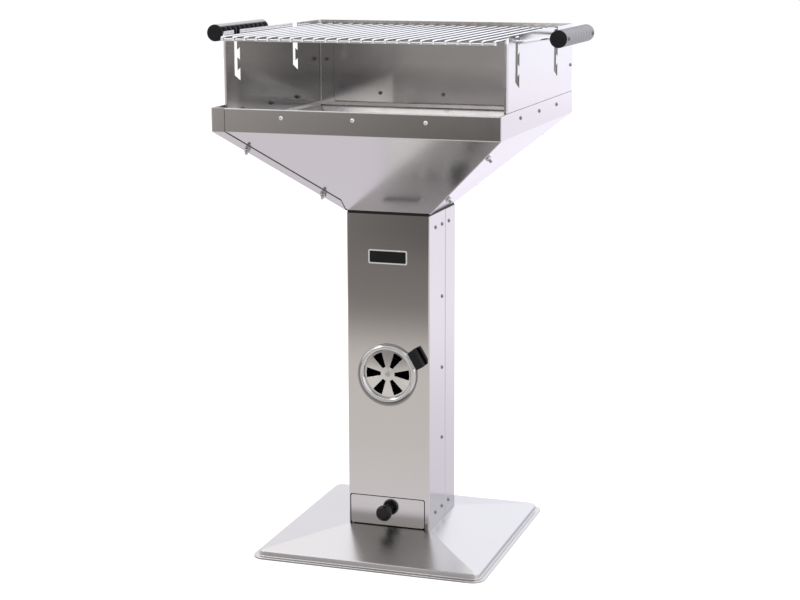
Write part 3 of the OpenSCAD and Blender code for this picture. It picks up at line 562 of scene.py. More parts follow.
def painted_light_in_guard(f):
    """Painted light and shade on the wind guard, as how far its bright colour is darkened: painted
    reflections leave it brightest inside above the grate and low at the back wall's left, and painted shade
    darkens it most inside in the back left corner and low on the rest of the back wall."""
    p = Plan()
    x, y, z = f.coordinates()
    general_level, corner_shade_level, mirror_image_shade_level, shadow_level, glow_level = 0.614, 0.24, 0.25, 0.38, 0.5
    left, back, low = x + p.guard_half, p.guard_half - y, z - p.guard_bottom
    at_left, at_back = (1.0 - distance.step(3 * MM, 6 * MM) for distance in (left, back))
    inside = (p.guard_half - abs(x)).step(0.7 * MM, 1.1 * MM) * back.step(0.7 * MM, 1.1 * MM)
    above = (z - p.bar_z).step(-8 * MM, -2 * MM)
    # Painted reflections: inside above the grate, at the left wall and at the right, the guard keeps its
    # bright colour.
    painted_reflection_ends = at_left.larger(x.step(100 * MM, 220 * MM))
    # Painted shade, deepest in the back left corner.
    corner = (1.0 - left.step(40 * MM, 160 * MM)) * (1.0 - back.step(160 * MM, 460 * MM))

    def patch(x, low):
        """Painted bright reflection with a slanting top and an upright right edge."""
        slope, left_end, left_height = 0.37, 203 * MM, 21 * MM
        under_slant = ((x + left_end) * slope + left_height - low).step(-10 * MM, 12 * MM)
        return under_slant * (1.0 - x.step(-110 * MM, -100 * MM))

    # glow is the painted bright reflection low at the back wall's left.
    glow = patch(x, low)
    # The left wall mirrors the painted bright area, narrower and leaning. Painted shade there keeps that
    # mirror image faint.
    squeeze, lean = 0.376, 0.075
    mirrored = patch(back * squeeze - p.guard_half, low - back * lean) * inside * at_left
    # Painted shade low on the back wall, right of the painted bright area.
    shadow = (1.0 - low.step(23 * MM, 66 * MM)) * x.step(-100 * MM, -40 * MM)
    # Elsewhere the guard's bright colour is darkened to the plain sheet's tone.
    dull = general_level - inside * above * painted_reflection_ends * general_level
    dull = dull + inside * (1.0 - above) * corner * corner_shade_level
    return dull + mirrored * mirror_image_shade_level + inside * at_back * (shadow * shadow_level - glow * glow_level)


def below_damper(f):
    """The soft shadow of the damper's ring on the column, low at the left."""
    x, _, z = f.coordinates()
    left, down, dark_radius, clear_radius, level = 2.2 * MM, 4.6 * MM, 55.5 * MM, 59.5 * MM, 0.85
    x, z = x + left, z - Plan().damper_z + down
    return (1.0 - (x * x + z * z).step(dark_radius**2, clear_radius**2)) * level


def sheet_steel(f, colour, rough, shade=None):
    """Polished stainless sheet: fine upright grain, faint wipe marks, a few dull spots and a slight waviness.
    shade paints light and shade into its colour: it is darker where shade is higher."""
    grain = f.noise((900, 900, 18), detail=3.0, roughness=0.6)
    wipe = f.noise((7, 7, 4), detail=4.0, roughness=0.55)
    spots = f.noise((38, 38, 26), detail=3.0, roughness=0.6)
    waves = f.noise((5, 5, 3), detail=1.0, roughness=0.4)
    marks = wipe.step(0.45, 0.72) * 0.3 + spots.step(0.55, 0.8) * 0.2
    tone = f.blend(marks * 0.5 + grain * 0.12, colour, darker(colour, 0.93))
    # Painted light and shade: the colour is darkened as far as shade says.
    if shade:
        tone = f.blend(shade(f), tone, darker(colour, 0.3))
    rough = (grain - 0.5) * 0.05 + marks * 0.06 + rough
    normal = f.bump(grain * 0.12 + waves * 8.0, distance=0.05 * MM, strength=0.6)
    return f.surface(tone, rough, normal, Metallic=1.0, Specular_Tint=(0.9, 0.9, 0.91, 1.0))


def bare_steel(f, colour, rough):
    """Drawn wire, turned fixings and small pressings, a little cloudy."""
    drawn = f.noise(260, detail=3.0, roughness=0.6)
    cloud = f.noise(30)
    tone = f.blend(cloud.step(0.35, 0.7) * 0.6, colour, darker(colour, 0.86))
    normal = f.bump(drawn, distance=0.04 * MM, strength=0.5)
    return f.surface(tone, drawn * 0.08 + cloud * 0.06 + rough, normal, Metallic=1.0)


def ring_steel(f, colour, rough):
    """Pressed ring with painted shade round its lower left edge, and darkened a little all over as well."""
    x, _, z = f.coordinates()
    z = z - Plan().damper_z
    slope, painted_shadow_level, general_level = 0.6, 0.76, 0.16
    edge = (x * x + z * z).step((50.5 * MM) ** 2, (53.5 * MM) ** 2)
    below = (0.0 - x * slope - z).step(-12 * MM, 25 * MM)
    # Painted shade: the lower left edge is darkened.
    tone = f.blend(edge * below * painted_shadow_level + general_level, colour, darker(colour, 0.15))
    return f.surface(tone, f.noise(30) * 0.06 + rough, Metallic=1.0)


def screw_steel(f, colour, rough):
    """Turned fixings with painted shade, which darkens all but those on the front of the rim and on the
    bowl's hips.
    """
    p = Plan()
    x, y, z = f.coordinates()
    hip_level, hip_start = 0.7, 90 * MM
    front = (0.0 - y - p.bowl_half).step(-2 * MM, -1 * MM)
    hip = (abs(x) - hip_start).step(0.0, 1 * MM) * (p.band_bottom - z).step(0.0, 1 * MM) * hip_level
    # The darkened colour is painted shade; the front of the rim and, mostly, the bowl's hips keep the plain
    # colour.
    tone = f.blend(front.larger(hip), darker(colour, 0.28), colour)
    return f.surface(tone, f.noise(30) * 0.06 + rough, Metallic=1.0)


def bar_steel(f, colour, rough):
    """Drawn wire with painted shade on its underside behind the first centimetre."""
    p = Plan()
    _, y, z = f.coordinates()
    bright_end = p.grate_y - p.grate.length / 2 + 14 * MM
    above = (z - p.bar_z).step(-0.5 * MM, 1 * MM)
    ahead = (bright_end - y).step(0.0, 8 * MM)
    # Painted shade: below the bars' middle the colour is darkened, except near the front ends.
    tone = f.blend(above.larger(ahead), darker(colour, 0.2), colour)
    return f.surface(tone, f.noise(260, detail=3.0, roughness=0.6) * 0.08 + rough, Metallic=1.0)


def left_grip(f, colour, rough):
    """The left grip's skin: painted highlights make it pale along its top and in its grooves."""
    p = Plan()
    x, _, z = f.coordinates()
    x, z = x + p.grate.grip_reach, z - p.grip_z
    radius, groove_highlight_level, top_highlight_level = p.grate.grip_width / 2, 0.7, 0.8
    groove = 1.0 - (x * x + z * z).step((radius - 0.65 * MM) ** 2, (radius - 0.2 * MM) ** 2)
    top = z.step(radius * 0.66, radius * 0.86)
    pale = (0.6, 0.6, 0.61)
    # Painted highlights: pale along the top and in the grooves.
    tone = f.blend(groove * groove_highlight_level + top * top_highlight_level, darker(colour, 0.3), pale)
    return f.surface(tone, f.noise(1800, detail=3.0, roughness=0.55) * 0.1 + rough, Specular_IOR_Level=0.02)


def right_grip(f, colour, rough):
    """The right grip's skin, with a painted pale sheen on its outer side, and a little cloudy."""
    p = Plan()
    x, _, _ = f.coordinates()
    painted_sheen = (x - p.grate.grip_reach).step(0.0, p.grate.grip_width * 0.4)
    cloud = f.noise(60, detail=4.0, roughness=0.6)
    painted_sheen_level, cloud_level, pale = 0.3, 0.05, (0.5, 0.5, 0.52)
    # Painted sheen: the outer side is paler.
    tone = f.blend(painted_sheen * painted_sheen_level + cloud * cloud_level, colour, pale)
    return f.surface(tone, f.noise(1800, detail=3.0, roughness=0.55) * 0.1 + rough, Specular_IOR_Level=0.9)


def moulded(f, colour, rough, grain, coat=0.0, shine=0.5):
    """Moulded plastic or enamel with a fine skin and a little dust."""
    skin = f.noise(grain, detail=3.0, roughness=0.55)
    dust = f.noise(60, detail=4.0, roughness=0.6)
    dusty = [c * 1.5 + 0.004 for c in colour]
    tone = f.blend(dust.step(0.5, 0.8) * 0.5, colour, dusty)
    rough = skin * 0.1 + dust * 0.08 + rough
    normal = f.bump(skin, distance=0.06 * MM, strength=0.5)
    return f.surface(tone, rough, normal, Coat_Weight=coat, Specular_IOR_Level=shine)


# Key: how it is made, its colour, the rest of its values and the record's slot
FINISHES = {
    "sheet": (sheet_steel, "sheet", {"rough": 0.11}, "stainless_sheet"),
    "bowl": (sheet_steel, "sheet", {"rough": 0.14}, "stainless_sheet"),
    "foot": (sheet_steel, "foot", {"rough": 0.25, "shade": painted_light_on_foot}, "stainless_sheet"),
    "column": (sheet_steel, "sheet", {"rough": 0.11, "shade": below_damper}, "stainless_sheet"),
    "guard": (sheet_steel, "guard", {"rough": 0.16, "shade": painted_light_in_guard}, "stainless_sheet"),
    "mill": (bare_steel, "mill", {"rough": 0.22}, "stainless_sheet"),
    "cut": (bare_steel, "cut", {"rough": 0.45}, "stainless_sheet"),
    "wire": (bare_steel, "wire", {"rough": 0.1}, "polished_steel"),
    "bar": (bar_steel, "wire", {"rough": 0.13}, "polished_steel"),
    "pressing": (bare_steel, "wire", {"rough": 0.1}, "polished_steel"),
    "rivet": (bare_steel, "rivet", {"rough": 0.3}, "polished_steel"),
    "ring": (ring_steel, "wire", {"rough": 0.1}, "polished_steel"),
    "fixing": (screw_steel, "fixing", {"rough": 0.16}, "fastener_steel"),
    # Dark steel: soot on the tray, painted shade on the neck collar.
    "sooted": (bare_steel, "sooted", {"rough": 0.5}, "stainless_sheet"),
    "blackened": (bare_steel, "blackened", {"rough": 0.35}, "fastener_steel"),
    "grate": (bare_steel, "grate", {"rough": 0.32}, "grate_steel"),
    # The two grip finishes are lit and shaded copies of one black plastic: painted highlights on the left
    # grip, a painted sheen on the right.
    "grip": (right_grip, "grip", {"rough": 0.4}, "black_grip"),
    "left_grip": (left_grip, "grip", {"rough": 0.5}, "black_grip"),
    "cap": (moulded, "grip", {"rough": 0.5, "grain": 1800, "shine": 0.12}, "black_grip"),
    "knob": (moulded, "knob", {"rough": 0.08, "grain": 420, "coat": 0.25, "shine": 0.08}, "black_knob"),
    "plate": (moulded, "plate", {"rough": 0.45, "grain": 1400, "shine": 0.15}, "plate_black"),
    "border": (moulded, "border", {"rough": 0.35, "grain": 1400}, "polished_steel"),
}


def finish_named(key):
    """The finish with that key, made when it is first asked for."""
    name = key + "_finish"
    made = bpy.data.materials.get(name)
    if made is None:
        make, colour_name, values, _ = FINISHES[key]
        colour = tuple(getattr(Plan().finish, colour_name))
        made = make(Finish(bpy.data.materials.new(name)), colour, **values)
    return made


# --- mesh building ------------------------------------------------------------------------------------

SAME_POINT = 1e-6
# Faces that meet at less than FLAT are joined. Edges are shaded smooth up to SMOOTH and rounded above SHARP.
FLAT, SMOOTH, SHARP = math.radians(0.6), math.radians(35), math.radians(50)


class Shape:
    """Points and faces that are being gathered for one mesh, in metres."""

    def __init__(self):
        self.points, self.faces = [], []

    def add(self, points, faces):
        first = len(self.points)
        self.points += [Vector(p) for p in points]
        self.faces += [[first + i for i in face] for face in faces]
        return self

    def face(self, points):
        """One flat face."""
        return self.add(points, [range(len(points))])

    def loft(self, rings, round_ring=True, round_loft=False, caps=False):
        """Faces between neighbouring rings, which have the same number of points."""
        n = len(rings[0])
        faces = []
        for i in range(len(rings) if round_loft else len(rings) - 1):
            a, b = i * n, (i + 1) % len(rings) * n
            for j in range(n if round_ring else n - 1):
                k = (j + 1) % n
                faces.append((a + j, a + k, b + k, b + j))
        if caps:
            faces.append(tuple(range(n))[::-1])
            faces.append(tuple(range((len(rings) - 1) * n, len(rings) * n)))
        return self.add([p for ring in rings for p in ring], faces)

    def lathe(self, profile, steps=32, closed=False):
        """Turns a profile of (radius, height) round Z. A third entry of 6 makes that ring a hexagon."""
        side = math.pi / 3
        rings = []
        for i in range(steps):
            turn = 2 * math.pi * i / steps
            ring = []
            for radius, height, *sides in profile:
                if sides:
                    radius /= math.cos((turn + side / 2) % side - side / 2)
                ring.append((radius * math.cos(turn), radius * math.sin(turn), height))
            rings.append(ring)
        return self.loft(rings, round_ring=closed, round_loft=True)

    def tube(self, path, diameter, sides=12, closed=False):
        """A wire along a path of points."""
        path = [Vector(p) for p in path]
        n = len(path)
        along = []
        for i in range(n):
            if closed:
                before, after = path[i - 1], path[(i + 1) % n]
            else:
                before, after = path[max(i - 1, 0)], path[min(i + 1, n - 1)]
            along.append((after - before).normalized())
        side = along[0].orthogonal().normalized()
        rings = []
        for i, direction in enumerate(along):
            if i:
                side = along[i - 1].rotation_difference(direction) @ side
            side = (side - direction * side.dot(direction)).normalized()
            up = direction.cross(side)
            ring = []
            for j in range(sides):
                turn = 2 * math.pi * j / sides
                ring.append(path[i] + (side * math.cos(turn) + up * math.sin(turn)) * (diameter / 2))
            rings.append(ring)
        return self.loft(rings, round_loft=closed, caps=not closed)

    def slab(self, points, faces, low, high):
        """Flat faces, given by (x, y) points, with a thickness from low to high."""
        n = len(points)
        sides = {}
        for face in faces:
            for a, b in zip(face, face[1:] + face[:1]):
                sides[frozenset((a, b))] = None if frozenset((a, b)) in sides else (a, b)
        walls = [[a, b, b + n, a + n] for a, b in filter(None, sides.values())]
        both = [(x, y, z) for z in (low, high) for x, y in points]
        under = [face[::-1] for face in faces]
        over = [[i + n for i in face] for face in faces]
        return self.add(both, under + over + walls)

    def plate(self, outline, low, high):
        """A flat plate of one outline of (x, y) points."""
        return self.slab(outline, [list(range(len(outline)))], low, high)

    def moved(self, matrix):
        self.points = [matrix @ p for p in self.points]
        return self

    def mesh(self, name, facing=None):
        """The mesh, its doubles merged. A closed one faces outwards, and an open one's largest face looks
        along facing."""
        bm = bmesh.new()
        verts = [bm.verts.new(p) for p in self.points]
        for face in self.faces:
            bm.faces.new([verts[i] for i in face])
        bmesh.ops.remove_doubles(bm, verts=bm.verts, dist=SAME_POINT)
        bmesh.ops.recalc_face_normals(bm, faces=bm.faces)
        if facing is not None:
            largest = max(bm.faces, key=lambda face: face.calc_area())
            if largest.normal.dot(Vector(facing)) < 0:
                bmesh.ops.reverse_faces(bm, faces=bm.faces)
        mesh = bpy.data.meshes.new(name)
        bm.to_mesh(mesh)
        bm.free()
        return mesh


def arc(centre, radius, start, end, steps):
    """Points (x, y) on an arc, its angles in degrees."""
    turns = [math.radians(start + (end - start) * i / steps) for i in range(steps + 1)]
    return [(centre[0] + radius * math.cos(t), centre[1] + radius * math.sin(t)) for t in turns]


def rounded_rectangle(half_x, half_y, radius, steps=4, centre=(0, 0)):
    """Points (x, y) round a rectangle with round corners."""
    points = []
    for i, (sx, sy) in enumerate(((1, 1), (-1, 1), (-1, -1), (1, -1))):
        middle = (centre[0] + sx * (half_x - radius), centre[1] + sy * (half_y - radius))
        points += arc(middle, radius, 90 * i, 90 * i + 90, steps)
    return points


def rounded_path(points, radius, steps=5, closed=False):
    """The path with each of its corners turned into an arc."""
    points = [Vector(p) for p in points]
    if closed:
        corners = list(zip(points[-1:] + points[:-1], points, points[1:] + points[:1]))
    else:
        corners = list(zip(points, points[1:], points[2:]))
    made = []
    for before, corner, after in corners:
        a, b = (before - corner).normalized(), (after - corner).normalized()
        half_turn = (math.pi - a.angle(b)) / 2
        middle = corner + (a + b).normalized() * (radius / math.cos(half_turn))
        reach = radius * math.tan(half_turn)
        start, end = ((corner + side * reach - middle).normalized() for side in (a, b))
        made += [middle + start.slerp(end, i / steps) * radius for i in range(steps + 1)]
    return made if closed else [points[0], *made, points[-1]]


def rounded_profile(points, radius, steps=5):
    """The same for a path of two-part points, such as (radius, height)."""
    return [(q.x, q.z) for q in rounded_path([(u, 0, v) for u, v in points], radius, steps)]


def plain_copy(node):
    """A solid's mesh with its doubles merged and its flat faces joined."""
    bm = bmesh.new()
    bm.from_mesh(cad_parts[node].data)
    bmesh.ops.remove_doubles(bm, verts=bm.verts, dist=SAME_POINT)
    bmesh.ops.dissolve_limit(bm, angle_limit=FLAT, verts=bm.verts, edges=bm.edges)
    mesh = bpy.data.meshes.new(node)
    bm.to_mesh(mesh)
    bm.free()
    return mesh


def cut_edges(mesh, thickness):
    """Gives the faces at a sheet's cut edges the second finish. They are no wider than the sheet is thick,
    and their long sides are sharp edges."""
    widest, sharp = 1.05 * thickness, 1.0
    bm = bmesh.new()
    bm.from_mesh(mesh)
    for face in bm.faces:
        width = 2 * face.calc_area() / face.calc_perimeter()
        long = [edge for edge in face.edges if edge.calc_length() > 2 * width]
        if width < widest and all(edge.calc_face_angle(0) > sharp for edge in long):
            face.material_index = 1
    bm.to_mesh(mesh)
    bm.free()


def piece(name, mesh, key, body="stand", node=None, edge=0.0, sheet=0.0, cut=0.0, inside=None):
    """A finished piece, in place of the solid called node or else of the one with its own name. sheet gives
    an open mesh its thickness, inwards, and edge rounds its sharp edges. cut is the thickness of a sheet that
    has it already. Cut edges have a finish of their own, as has the inside if it is named."""
    obj = in_scene(bpy.data.objects.new(name, mesh))
    mesh.shade_smooth()
    mesh.set_sharp_from_angle(angle=SMOOTH)
    mesh.materials.clear()
    for finish in (key, *(["cut"] if sheet or cut else []), *([inside] if inside else [])):
        mesh.materials.append(finish_named(finish))
    if cut:
        cut_edges(mesh, cut)
    if sheet:
        wall = obj.modifiers.new("sheet", "SOLIDIFY")
        wall.thickness, wall.offset, wall.use_even_offset = sheet, -1.0, True
        # The second finish is for the cut edges and the third for the inside.
        wall.material_offset_rim, wall.material_offset = 1, 2 if inside else 0
    if edge:
        bevel = obj.modifiers.new("rounded_edges", "BEVEL")
        bevel.width, bevel.segments, bevel.use_clamp_overlap = edge, 2, True
        bevel.limit_method, bevel.angle_limit = "ANGLE", SHARP
        flats = obj.modifiers.new("flats", "WEIGHTED_NORMAL")
        flats.keep_sharp = True
    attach(obj, body)
    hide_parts(node or name)
    return obj


# --- pieces -------------------------------------------------------------------------------------------

QUARTERS = ("front", "right", "back", "left")


def quarter_turn(i):
    """From the front to side i of QUARTERS."""
    return Matrix.Rotation(i * RIGHT_ANGLE, 4, "Z")


def make_foot(p):
    foot = p.foot
    skirt = p.foot_half - foot.flange
    top = p.column_half + 2 * MM
    slope = (foot.height - foot.skirt) / (skirt - top)
    lip_bend, toe_bend, crest_bend, brow_bend = 1.2 * MM, 1.4 * MM, 2.6 * MM, 6 * MM
    draft = 0.6 * MM
    shoulder, shoulder_z = skirt - draft * 0.6, foot.skirt + slope * draft * 0.6
    knee = skirt - 9 * MM

    profile = [(p.foot_half, 0.0)]
    profile += arc((p.foot_half - lip_bend, foot.lip - lip_bend), lip_bend, 0, 90, 3)
    toe = [(skirt + draft + 2 * MM, foot.lip), (skirt + draft, foot.lip), (shoulder, foot.skirt)]
    profile += rounded_profile(toe, toe_bend, 3)[:-1]
    crest = [(skirt + draft, foot.lip), (shoulder, shoulder_z), (top, foot.height)]
    profile += rounded_profile(crest, crest_bend)[1:-1]
    profile += [(knee, foot.height - slope * (knee - top))]
    brow = [(shoulder, shoulder_z), (top, foot.height), (top - 20 * MM, foot.height)]
    profile += rounded_profile(brow, brow_bend, 2)[1:-1]
    profile += [(top - 6 * MM, foot.height)]

    # The corners are round at the flange and the skirt, and all but sharp from the knee up.
    sharp, hip = 2 * MM, 6.5 * MM
    rings = []
    for half, z in profile:
        corner = foot.corner - (p.foot_half - half)
        share = max(0.0, min(1.0, (half - knee) / hip))
        corner = sharp + (corner - sharp) * share * share * (3 - 2 * share)
        rings.append([(x, y, z) for x, y in rounded_rectangle(half, half, corner, 8)])
    shape = Shape().loft(rings).face(rings[-1])
    piece("foot_plate", shape.mesh("foot_plate", (0, 0, 1)), "foot", sheet=foot.sheet, edge=0.4 * MM)


def make_column(p):
    column, half = p.column, p.column_half
    piece("column_front", plain_copy("column_front"), "column", edge=0.35 * MM, cut=column.sheet)

    tongue, wall = half - column.sheet, half + column.proud
    corners = [(tongue, column.seam - column.lap), (tongue, column.seam + 1.1 * MM)]
    corners += [(wall, column.seam + 2.2 * MM), (wall, half), (0, half)]
    side = corners[:1]
    for i, radius in enumerate((0.5 * MM, 2 * MM, column.bend)):
        side += rounded_profile(corners[i : i + 3], radius)[1:-1]
    around = side + [(-x, y) for x, y in side[::-1]]
    levels = (p.foot.height, p.column_top)
    back = Shape().loft([[(x, y, z) for x, y in around] for z in levels], round_ring=False)
    back = back.mesh("column_back", (0, 1, 0))
    piece("column_back", back, "sheet", sheet=column.sheet, edge=0.3 * MM)

    piece("foot_collar", plain_copy("foot_collar"), "sheet", edge=0.3 * MM)
    # The collar's returns are folded in behind the drawer's opening. Depths are from the column's front.
    outer, front, rear, end = half - column.sheet - 3.3 * MM, 1.7 * MM, 3.2 * MM, 12 * MM
    web, toe = outer - column.sheet, outer - 5.2 * MM
    folded = [(web, end), (web, rear), (toe, rear), (toe, front), (outer, front), (outer, end)]
    for side, name in ((-1, "foot_collar_return_left"), (1, "foot_collar_return_right")):
        outline = [(side * x, y - half) for x, y in folded]
        shape = Shape().plate(outline, p.foot.height, p.foot.height + 15 * MM)
        # The returns take the darker cut finish as painted shade in the recess beside the drawer.
        piece(name, shape.mesh(name), "cut", node="foot_collar", edge=0.2 * MM)
    # The neck collar is near black: painted shade in the gap between the column and the bowl.
    piece("neck_collar", plain_copy("neck_collar"), "sooted", edge=0.3 * MM)


def bowl_panel(p, hem):
    """One panel as the sheet's outer face, facing -Y, its lap round the corner at +X."""
    bowl = p.bowl
    bend = bowl.bend
    narrow = bend + p.LOOSE
    turn_z = p.band_bottom + bend * math.tan((RIGHT_ANGLE - p.bowl_tilt) / 2)
    bend_start = turn_z - (bend + bowl.sheet) * math.cos(p.bowl_tilt)
    bend_steps = 6
    heights = [p.bowl_bottom, p.bowl_bottom + narrow / p.bowl_run, p.bowl_bottom + bowl.lap / p.bowl_run]
    heights += [bend_start + (turn_z - bend_start) * i / bend_steps for i in range(bend_steps + 1)]
    heights += [p.band_top - p.HEM_BEND, p.band_top]
    rows = []
    for z in heights:
        own, outer, inner = (p.bowl_at(k, z) for k in (0, 1, -1))
        lap_end = max(-max(own - bowl.lap, p.column_half), narrow - own)
        row = [(-inner, -own, z), (own - bowl.sheet - p.LOOSE, -own, z)]
        row += [(x, y, z) for x, y in arc((outer - bend, bend - own), bend, -90, 0, 5)]
        rows.append(row + [(outer, lap_end, z)])
    shape = Shape()
    if hem:
        shape.loft(rows[:-1], round_ring=False)
        shape.loft([row[2:] for row in rows[-2:]], round_ring=False)
        turned = arc((p.HEM_BEND - p.bowl_half, p.band_top - p.HEM_BEND), p.HEM_BEND, 180, 90, 3)
        turned.append((bowl.sheet + bowl.hem - p.bowl_half, p.band_top))
        half = rows[-1][1][0]
        shape.loft([[(-half, y, z), (half, y, z)] for y, z in turned], round_ring=False)
    else:
        shape.loft(rows, round_ring=False)
    return shape


def make_bowl(p):
    for i, side in enumerate(QUARTERS):
        name = "bowl_" + side
        turn = quarter_turn(i)
        mesh = bowl_panel(p, hem=i == 0).moved(turn).mesh(name, turn @ Vector((0, -1, -1)))
        piece(name, mesh, "bowl", sheet=p.bowl.sheet, edge=0.3 * MM, inside="mill")


def slot_outline(p, y0):
    """Points (y, z) round a height slot, from its front to its back, both at the wall's top."""
    guard = p.guard
    deep, channel = guard.slot_width, guard.channel
    floor = (deep - channel) * guard.seat_slope
    seats = [p.lowest_seat + i * guard.seat_pitch for i in range(guard.seats)]
    points = [(0, p.guard_top), (0, seats[0] + deep * guard.seat_slope)]
    for low, high in zip(seats, seats[1:]):
        roof = low + guard.seat_height
        points += [(deep, low), (deep, roof), (channel, roof - guard.seat_roof), (channel, high + floor)]
    points += [(deep, seats[-1]), (deep, p.guard_top)]
    return [(y0 + y, z) for y, z in points]


def upright(outline, low, high):
    """Pairs of points for a loft: an upright wall along (x, y) points."""
    return [[(x, y, low), (x, y, high)] for x, y in outline]


def guard_side(p, side, back, flange):
    """Outer face of a side wall, with its slots, its turned-in front edge and, unless it is 0, a flange at
    the back."""
    guard = p.guard
    bend, half, top, low = guard.front_bend, p.guard_half, p.guard_top, p.guard_bottom

    def top_at(y):
        ahead = max(guard.corner - (y - p.guard_front), 0)
        return top - guard.corner + math.sqrt(guard.corner**2 - ahead**2)

    start, corner_steps = p.guard_front + bend, 3
    corner = [start + (guard.corner - bend) * i / corner_steps for i in range(corner_steps + 1)]
    wall = [(start, low)] + [(y, top_at(y)) for y in corner]
    for y in p.slots:
        wall += slot_outline(p, y)
    end = back - guard.bend if flange else back
    wall += [(end, top), (end, low)]
    shape = Shape().face([(-half, y, z) for y, z in wall])
    front = arc((bend - half, start), bend, 180, 270, 8) + [(guard.front_return - half, p.guard_front)]
    shape.loft([[(x, y, low), (x, y, top_at(y))] for x, y in front], round_ring=False)
    if flange:
        turned = arc((guard.bend - half, back - guard.bend), guard.bend, 180, 90, 4)
        turned.append((flange - half, back))
        shape.loft(upright(turned, low, top), round_ring=False)
    if side > 0:
        shape.moved(Matrix.Scale(-1, 4, (1, 0, 0)))
    return shape


def make_guard(p):
    guard = p.guard
    half, low, top, bend = p.guard_half, p.guard_bottom, p.guard_top, guard.bend
    looks = {"sheet": guard.sheet, "edge": 0.3 * MM}
    left = guard_side(p, -1, half - guard.sheet, guard.flange).mesh("guard_left", (-1, 0, 0))
    piece("guard_left", left, "guard", **looks)
    right = guard_side(p, 1, half, 0).mesh("guard_right", (1, 0, 0))
    piece("guard_right", right, "guard", **looks)

    hem_half = half - guard.flange - 2 * MM
    hem_end = hem_half + 1 * MM
    hem_z = low + p.HEM_BEND
    turn_x = half - guard.sheet
    wall = [(-half, low), (-hem_end, low), (-hem_half, hem_z), (hem_half, hem_z), (hem_end, low)]
    wall += [(turn_x - bend, low), (turn_x - bend, top), (-half, top)]
    shape = Shape().face([(x, half, z) for x, z in wall])
    corner = arc((turn_x - bend, half - bend), bend, 90, 0, 4) + [(turn_x, half - guard.flange)]
    shape.loft(upright(corner, low, top), round_ring=False)
    hem = arc((half - p.HEM_BEND, hem_z), p.HEM_BEND, 0, -90, 3) + [(turn_x - p.bowl.hem, low)]
    shape.loft([[(-hem_half, y, z), (hem_half, y, z)] for y, z in hem], round_ring=False)
    piece("guard_back", shape.mesh("guard_back", (0, 1, 0)), "guard", **looks)


def dome_screw(p, shank):
    """Dome-head screw with a hexagon socket: head above Z = 0, shank below."""
    fixings = p.fixings
    r, head, dome = fixings.screw / 2, fixings.screw_head / 2, fixings.screw_dome
    bevel, rim, socket = 0.4 * MM, 0.2 * MM, 1.25 * MM
    ball = (head * head + dome * dome) / (2 * dome)
    start = math.asin(head / ball)
    profile = [(0, -shank), (r - bevel, -shank), (r, bevel - shank), (r, 0), (head - rim, 0)]
    for i in range(6):
        turn = start * (1 - i / 7)
        profile.append((ball * math.sin(turn), dome - ball + ball * math.cos(turn)))
    profile += [(socket, dome - 0.1 * MM, 6), (socket - 0.05 * MM, dome - 1.3 * MM, 6), (0, dome - 1.5 * MM)]
    return Shape().lathe(profile, steps=24).mesh("dome_screw")


def hex_nut(width, height, thread):
    """Hexagon nut with chamfered corners, standing on Z = 0."""
    half, r = width / 2, thread / 2
    face, chamfer, mouth = half * 0.97, 0.09 * width, 0.3 * MM
    profile = [(r, mouth), (r + mouth, 0), (face, 0), (half, chamfer, 6)]
    profile += [(half, height - chamfer, 6), (face, height), (r + mouth, height), (r, height - mouth)]
    return Shape().lathe(profile, steps=24, closed=True).mesh("hex_nut")


def hex_bolt(p):
    """Hexagon bolt: Z = 0 is the lapped panel's outer face, the head is inside and the thread outside."""
    fixings, sheet = p.fixings, p.bowl.sheet
    r, half = fixings.bolt / 2, fixings.bolt_nut / 2
    head, thread = -sheet - fixings.bolt_head, sheet + fixings.bolt_nut_height
    end = thread + fixings.bolt_tail
    face, chamfer = half * 0.94, 0.6 * MM
    profile = [(0, head), (face, head), (half, head + chamfer, 6), (half, -sheet, 6)]
    profile += [(r, -sheet), (r, thread)]
    crests, tip, root = 6, 0.8 * MM, 0.45 * MM
    pitch = (fixings.bolt_tail - tip) / crests
    for i in range(crests):
        z = thread + i * pitch
        profile += [(r - root, z + pitch * 0.25), (r, z + pitch * 0.75)]
    profile += [(r - 0.7 * MM, end), (0, end)]
    return Shape().lathe(profile, steps=24).mesh("hex_bolt")


def moved_places(matrix, places, out=0.0):
    """Places and facings, moved out along the facing and then by matrix."""
    turn = matrix.to_3x3()
    pairs = [(Vector(at), Vector(facing)) for at, facing in places]
    return [(matrix @ (at + facing * out), turn @ facing) for at, facing in pairs]


def round_the_sides(places):
    """Places given for the front, and the same for the other three sides."""
    return [place for i in range(4) for place in moved_places(quarter_turn(i), places)]


def seam_heights(p):
    low, high = p.foot.height + p.column.screw_end, p.column_top - p.column.screw_end
    rows = p.column.screw_rows
    return [low + (high - low) * i / (rows - 1) for i in range(rows)]


def rim_places(p):
    z = p.band_top - p.bowl.screw_drop
    return [((i * p.bowl.screw_pitch, -p.bowl_half, z), (0, -1, 0)) for i in (-1, 0, 1)]


def guard_places(p):
    half, inset = p.guard_half, p.guard.bolt_inset
    z = p.guard_top - p.guard.bolt_drop
    return [((inset - half, half, z), (0, 1, 0)), ((half, half - inset, z), (1, 0, 0))]


def lap_places(p):
    tilt, places = p.bowl_tilt, []
    for z in (p.bowl_bottom + p.bowl.bolt_low, p.band_bottom - p.bowl.bolt_high):
        half = p.bowl_at(0, z)
        places.append(((p.bowl.bolt_inset - half, -half, z), (0, -math.sin(tilt), -math.cos(tilt))))
    return places


def fixings(name, item, places, seed, body="stand", key="fixing"):
    """A piece that is one item at many places, each turned by chance, which the seed fixes."""
    return piece(name, laid_out(name, "fixings", item, key, places, Seed=seed), key, body)


